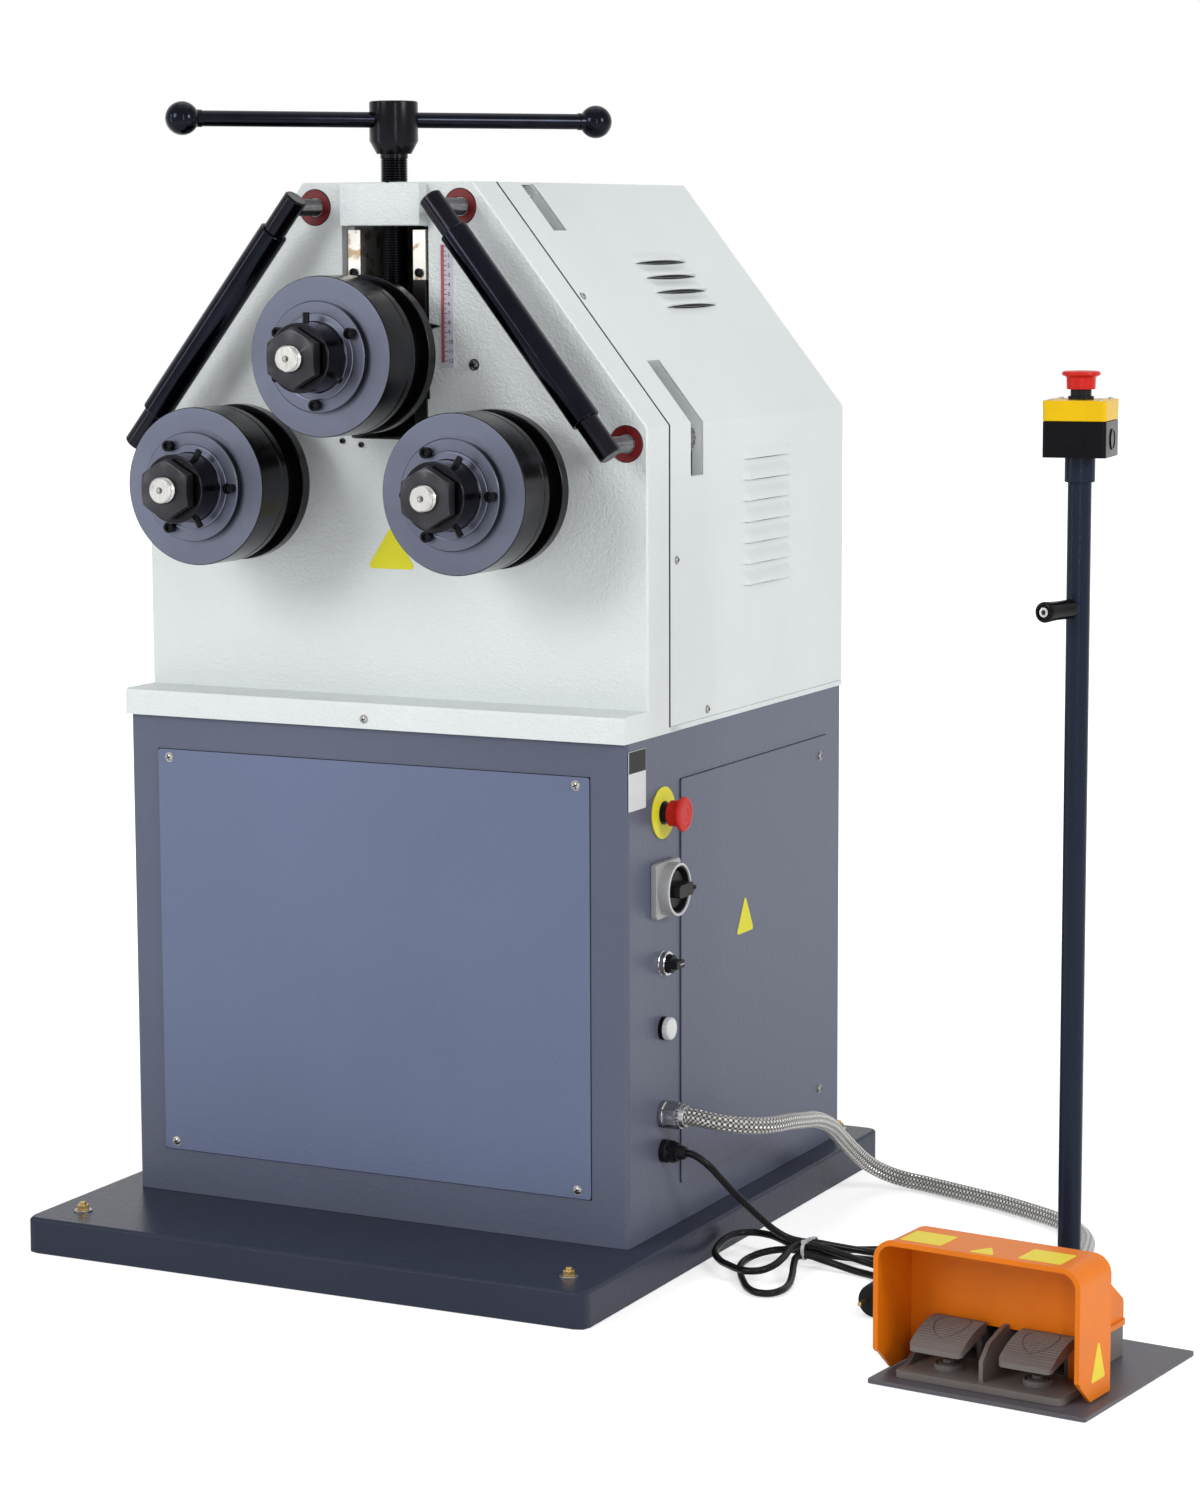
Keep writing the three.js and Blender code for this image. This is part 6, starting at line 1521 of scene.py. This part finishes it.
class RingRollerPedals(Operator):
    """Foot station: floor plate, guard, pedals and their base"""
    bl_idname = "ring_roller.pedals"
    bl_label = "Foot Station"

    def execute(self, context):
        done(skin("station_plate", 0.6), "machine", "plate_paint", plate_paint(), "station_plate")
        grey = moulded("pedal")
        done(skin("pedal_base", 0.6), "machine", "grey_plastic", grey, "pedal_base")
        self.guard()
        cup = turned("pedal_cups", [(15.5, 0), (15.5, 5.4), (14.9, 6), (12.8, 6), (12.2, 5.4),
                                    (12.2, 0), (15.5, 0)], 64)
        done(broken(copies("pedal_cups", cup, [STATION @ spot(u, 42, 13) for u in (65, 168)]), 0.3,
                    2), "machine", "grey_plastic", grey)
        for name, x in (("left", 65), ("right", 168)):
            self.pedal(name, x, grey)
        self.plates()
        return {"FINISHED"}

    def arch(self, inset, bottom, low, high, out=0.0):
        radius = max(20 - inset + out, 1)
        outline = box_outline(inset - out, bottom, 232.5 - inset + out, 150.3 - inset + out)
        return prism("arch", rounded(outline, [0, 0, radius, radius], 12), low, high, "y", STATION)

    def guard(self):
        wall, depth = 3.5, 78
        shell = self.arch(0, 7, 0, depth)
        trim(shell, self.arch(0, 7, -0.3, 5, 2), "UNION")
        trim(shell, self.arch(wall, 2, -5, depth - wall))
        trim(shell, prism("chamfer", [(-5, 2), (31, 2), (31, 7), (0, 34), (-5, 34)], -5, 240, "x",
                          STATION))
        rear = prism("rear", rounded(self.rear_outline(0, depth - wall), [0, 0, 9, 12, 0], 6), 42,
                     190, "x", STATION)
        trim(shell, rear, "UNION")
        lip = prism("lip", rounded(box_outline(39, depth - wall, 193, 205), [0, 0, 7, 7], 6), 40, 46,
                    "z", STATION)
        trim(shell, lip, "UNION")
        trim(shell, prism("room", self.rear_outline(wall, depth), 45.5, 186.5, "x", STATION))
        trim(shell, block("mouth", (45.5, depth - wall - 5, 2), (186.5, depth + 1, 55), STATION))
        trim(shell, block("under", (-5, depth + 0.15, -5), (237.5, 212, 40), STATION))
        broken(shell, 0.7, 3)
        done(shell, "machine", "orange_plastic", moulded("guard"), "pedal_guard")

    def rear_outline(self, inset, front):
        return [(front, 40 - 2 * inset), (202 - inset, 40 - 2 * inset),
                (202 - inset, 67 - inset / 2), (160, 98 - inset), (front, 98 - inset)]

    def pedal(self, name, x, look):
        """A crowned pad with grooves across it, its skirt, arm, hub and pins."""
        front, back, low, high, crown = 9.0, 71.0, 41.0, 60.0, 6.0

        def top(share, inset=0.0):
            height = low + share * (high - low) + 4 * crown * share * (1 - share)
            return (front + inset + share * (back - front - 2 * inset), height - inset)

        count = sizes().tread_grooves
        crest = [top(0)]
        for i in range(count):
            middle = 0.07 + 0.8 * i / (count - 1)
            for share, sink in ((-0.011, 0), (-0.005, 0.7), (0.005, 0.7), (0.011, 0)):
                v, z = top(middle + share)
                crest.append((v, z - sink))
        crest += [top(0.93), top(1)]
        skirt = [(front, low - 6), (back, high - 9)]
        pad = prism("pad", [*reversed(crest), *skirt], x - 30.5, x + 30.5, "x", STATION)
        hollow = [top(i / 8, 5) for i in range(9)]
        under = prism("under", [*reversed(hollow), (front + 5, low - 20), (back - 5, high - 20)],
                      x - 25.5, x + 25.5, "x", STATION)
        trim(pad, under)
        plan = rounded(box_outline(x - 30.5, front, x + 30.5, back), [6, 6, 3, 3], 6)
        trim(pad, prism("plan", plan, 0, 100, group=STATION), "INTERSECT")
        for side in (-1, 1):
            above = prism("above", [*(top(i / 16, 0.9) for i in range(17)), (back, 90), (front, 90)],
                          x - 32, x + 32, "x", STATION)
            trim(above, self.curve(x, side), "INTERSECT")
            trim(pad, above)
        broken(pad, 0.35, 2, 40)
        link = prism("link", [(98, 30.5), (98, 37.5), (69, 55), (40, 48), (40, 41.5)], x - 11,
                     x + 11, "x", STATION)
        hub = put(turned("hub", [(0, -11), (6.5, -11), (6.5, 11), (0, 11)], 40),
                  STATION @ spot(x, 98, 34) @ ALONG["x"])
        pin = put(turned("pin", [(0, -17), (3, -17), (3, 17), (0, 17)], 32),
                  STATION @ spot(x, 98, 34) @ ALONG["x"])
        carrier = broken(joined("carrier", [link, hub, pin]), 0.5, 2)
        pedal = joined(name + "_tread", [pad, carrier])
        done(pedal, name + "_pedal", "grey_plastic", look, "pedal_" + name)

    def curve(self, x, side):
        """A curved wall that cuts one of the two bowed grooves in a pad."""
        angles = [math.radians(-71 + 118 * i / 14) for i in range(15)]
        wall = [(x + side * (r * math.cos(a) - 9), 50 + r * math.sin(a))
                for r, turn in ((28.2, 1), (26.8, -1)) for a in angles[::turn]]
        return prism("curve", wall, 20, 95, group=STATION)

    def plates(self):
        """Plain stickers on the guard, with nothing printed on them."""
        yellow = printed("sticker")
        for name, u, v in (("left", 44, 36), ("right", 180, 36)):
            plate = prism(f"guard_{name}_plate", rounded(box_outline(u - 24, v - 20, u + 24, v + 20),
                                                         [2] * 4, 4), 150.25, 150.6, "z", STATION)
            done(plate, "machine", "yellow_plastic", yellow)
        middle = prism("guard_middle_plate", rounded([(101, 12), (131, 12), (116, 38)], [2.5] * 3, 5),
                       150.25, 150.6, "z", STATION)
        done(middle, "machine", "yellow_plastic", yellow)
        side = prism("guard_side_plate", rounded([(32, 26), (65, 26), (48.5, 70)], [2.5] * 3, 5),
                     232.4, 232.85, "x", STATION)
        done(side, "machine", "yellow_plastic", yellow)


class RingRollerPole(Operator):
    """Pole with its grip and the stop on top"""
    bl_idname = "ring_roller.pole"
    bl_label = "Pole"

    def execute(self, context):
        seat = STATION @ spot(116, 222, 0)
        pole = turned("pole_tube", [
            (0, 5.3), (16.4, 5.3), (18, 6.5), (18, 12.4), (16.5, 14.3), (12.5, 15.2), (12.5, 929),
            (15.4, 929), (16, 929.7), (16, 954.8), (15.4, 955.4), (0, 955.4)])
        put(pole, seat)
        broken(pole, 0.3, 2)
        done(pole, "machine", "slate_paint", slate_paint("pole"), "station_pole")
        self.grip()
        self.box()
        return {"FINISHED"}

    def grip(self):
        turn = math.radians(-99)
        lay = facing((116, 222, 797), (math.cos(turn), math.sin(turn), 0), STATION)
        bolt = put(turned("bolt", [(0, 10), (4, 10), (4, 56), (0, 56)], 32), lay)
        boss = put(turned("boss", [(0, 10), (9, 10), (9, 13), (8, 13.7), (0, 13.7)], 48), lay)
        bolt = broken(joined("grip_bolt", [bolt, boss]), 0.3, 1)
        done(bolt, "machine", "slate_paint", slate_paint("pole"))
        roller = turned("grip_roller", [
            (4.4, 14), (9.2, 14), (10.2, 14.9), (10.5, 16.4), (10.3, 20), (10.1, 29), (10.1, 38),
            (10.3, 47), (10.9, 57), (11, 60.6), (10.6, 62.2), (9.2, 63), (7.6, 63), (7.2, 61.6),
            (0, 61.6), (0, 56.4), (4.4, 56.4), (4.4, 14)], 64)
        put(roller, lay)
        smooth(roller, 40)
        done(roller, "grip", "black_plastic", moulded("glossy black"), "pole_grip")
        screw = put(socket_screw(5.4, 1.6, 0.9, "bright"), lay @ Matrix.Translation((0, 0, 0.0616)))
        done(named(screw, "grip_screw"), "grip", "bright_steel", None)

    def box(self):
        seat = STATION @ spot(116, 222, 0) @ Matrix.Rotation(math.radians(13.4), 4, "Z")
        half = 33.5

        def outline(inset):
            edge = half - inset
            return rounded(box_outline(-edge, -edge, edge, edge), [max(4 - inset, 1.2)] * 4, 6)

        body = prism("stop_box", outline(0), 955.7, 993.2, "z", seat)
        trim(body, prism("room", outline(3), 958.7, 998, "z", seat))
        knock = put(turned("knockout", [(0, -0.4), (11, -0.4), (11, 1.2), (9.6, 1.2), (9.6, 0.5),
                                        (0, 0.5)], 48), seat @ spot(half, 0, 974) @ ALONG["x"])
        face = put(turned("front_knockout", [(0, -0.4), (11, -0.4), (11, 0.5), (9.8, 0.5), (9.8, 0.15),
                                             (0, 0.15)], 48),
                   seat @ spot(0, -half, 974) @ Matrix.Rotation(math.pi / 2, 4, "X"))
        body = broken(joined("stop_box", [body, knock, face]), 0.7, 2)
        done(body, "machine", "black_plastic", moulded("glossy black"), "estop_box")
        lid = prism("stop_lid", outline(0), 993.5, 1014.9, "z", seat)
        trim(lid, prism("room", outline(3), 990, 1011.9, "z", seat))
        broken(lid, 1.6, 3)
        done(lid, "machine", "yellow_plastic", moulded("lid"), "estop_box_lid")
        screws = copies("lid_screws", pan_screw(2.6), [
            seat @ spot(x, y, 1014.9) for x in (-26, 26) for y in (-26, 26)])
        done(screws, "machine", "bright_steel", None)
        top = STATION @ spot(116, 222, 1014.9)
        neck = put(stop_neck("pole_stop_neck", Matrix.Identity(4)), top)
        done(neck, "machine", "black_plastic", moulded("black"))
        stop_button("pole_mushroom", top, "pole_stop", "pole_estop_button")


class RingRollerStudio(Operator):
    """Camera, floor and soft studio light"""
    bl_idname = "ring_roller.studio"
    bl_label = "Studio"

    def execute(self, context):
        self.camera()
        self.floor()
        self.lights()
        self.world()
        context.scene.view_settings.view_transform = "Standard"
        return {"FINISHED"}

    def camera(self):
        bpy.ops.object.camera_add()
        camera = bpy.context.object
        camera.data.sensor_fit = "HORIZONTAL"
        camera.data.sensor_width = 36
        camera.data.lens = 3737.981276 / 1200 * 36
        yaw, pitch, roll = (math.radians(a) for a in (26.605493, 7.896542, -0.214608))
        ahead = Vector((-math.sin(yaw) * math.cos(pitch), math.cos(yaw) * math.cos(pitch),
                        -math.sin(pitch)))
        level = Vector((math.cos(yaw), math.sin(yaw), 0))
        up = level.cross(ahead)
        right = math.cos(roll) * level + math.sin(roll) * up
        top = -math.sin(roll) * level + math.cos(roll) * up
        matrix = Matrix((right, top, -ahead)).transposed().to_4x4()
        matrix.translation = MACHINE @ (Vector((2152.3073, -3705.8997, 1189.6907)) * MM)
        camera.matrix_world = matrix
        bpy.context.scene.camera = camera

    def floor(self):
        bpy.ops.mesh.primitive_plane_add(size=40, location=(0, 0, -0.0005))
        floor = named(bpy.context.object, "studio_floor")
        look = Look("studio floor")
        mottle = look.noise(0.6, 2.0)
        look.finish(look.mix((0.80, 0.80, 0.80), (0.83, 0.83, 0.83), mottle), 0.7)
        camera = look.node("ShaderNodeLightPath", output="Is Camera Ray")
        glossy = look.node("ShaderNodeLightPath", output="Is Glossy Ray")
        x, y, _ = look.axes(look.place())
        away = (x * x + y * y).math("SQRT").between(1.0, 2.4, 0.5, 0.9)
        glow = look.mix((0, 0, 0), (1, 1, 1), (camera + glossy).clamp() * away)
        look.feed(look.shader.inputs["Emission Color"], glow)
        look.shader.inputs["Emission Strength"].default_value = 1
        floor.data.materials.append(look.material)

    def lights(self):
        for name, place, target, size, power in (
                ("key_light", (-1.5, -3.6, 2.3), (-0.2, -0.1, 0.85), (1.2, 1.4), 58),
                ("fill_light", (3.7, -1.0, 2.1), (-0.1, 0.1, 0.8), (1.1, 1.3), 80),
                ("top_light", (-0.2, 0.3, 4.0), (-0.1, 0.1, 0.5), (2.6, 2.6), 20),
                ("left_strip", (-2.6, -2.2, 1.3), (-0.3, -0.2, 0.8), (0.18, 2.0), 15),
                ("right_strip", (1.9, -2.9, 1.5), (-0.1, -0.1, 0.8), (0.18, 2.0), 17)):
            bpy.ops.object.light_add(type="AREA", location=place)
            light = bpy.context.object
            light.name = name
            light.data.shape = "RECTANGLE"
            light.data.size, light.data.size_y = size
            light.data.energy = power
            light.rotation_euler = (Vector(target) - Vector(place)).to_track_quat(
                "-Z", "Y").to_euler()

    def world(self):
        world = bpy.data.worlds.new("studio")
        world.use_nodes = True
        bpy.context.scene.world = world
        tree = world.node_tree
        shade = tree.nodes["Background"]
        path = tree.nodes.new("ShaderNodeLightPath")
        seen = tree.nodes.new("ShaderNodeMath")
        seen.operation = "MAXIMUM"
        tree.links.new(path.outputs["Is Camera Ray"], seen.inputs[0])
        tree.links.new(path.outputs["Is Glossy Ray"], seen.inputs[1])
        through = tree.nodes.new("ShaderNodeMath")
        through.operation = "MAXIMUM"
        tree.links.new(seen.outputs[0], through.inputs[0])
        tree.links.new(path.outputs["Is Transmission Ray"], through.inputs[1])
        strength = tree.nodes.new("ShaderNodeMapRange")
        strength.inputs["To Min"].default_value = 0.42
        strength.inputs["To Max"].default_value = 1.0
        tree.links.new(through.outputs[0], strength.inputs["Value"])
        tree.links.new(strength.outputs[0], shade.inputs["Strength"])
        shade.inputs["Color"].default_value = (1, 1, 1, 1)


OPERATORS = (
    RingRollerStudio, RingRollerCords, RingRollerStand, RingRollerFront, RingRollerSlide,
    RingRollerRolls, RingRollerGuides, RingRollerCowl, RingRollerControls, RingRollerPedals,
    RingRollerPole,
)


class RingRollerPanel(Panel):
    """Lists the ring roller's pieces, sizes and colours"""
    bl_idname = "VIEW3D_PT_ring_roller"
    bl_label = "Ring Roller"
    bl_space_type = "VIEW_3D"
    bl_region_type = "UI"
    bl_category = "Ring Roller"

    def draw(self, context):
        for operator in OPERATORS:
            self.layout.operator(operator.bl_idname)
        for group in (context.scene.ring_roller_sizes, context.scene.ring_roller_colours):
            for name in group.bl_rna.properties.keys():
                if name not in ("rna_type", "name"):
                    self.layout.prop(group, name)


CLASSES = (RollerSizes, RollerColours, *OPERATORS, RingRollerPanel)


def register():
    for item in CLASSES:
        bpy.utils.register_class(item)
    bpy.types.Scene.ring_roller_sizes = PointerProperty(type=RollerSizes)
    bpy.types.Scene.ring_roller_colours = PointerProperty(type=RollerColours)


def unregister():
    del bpy.types.Scene.ring_roller_colours
    del bpy.types.Scene.ring_roller_sizes
    for item in reversed(CLASSES):
        bpy.utils.unregister_class(item)


def main():
    register()
    for operator in OPERATORS:
        group, name = operator.bl_idname.split(".")
        getattr(getattr(bpy.ops, group), name)()
    deselect()


if __name__ == "__main__":
    main()
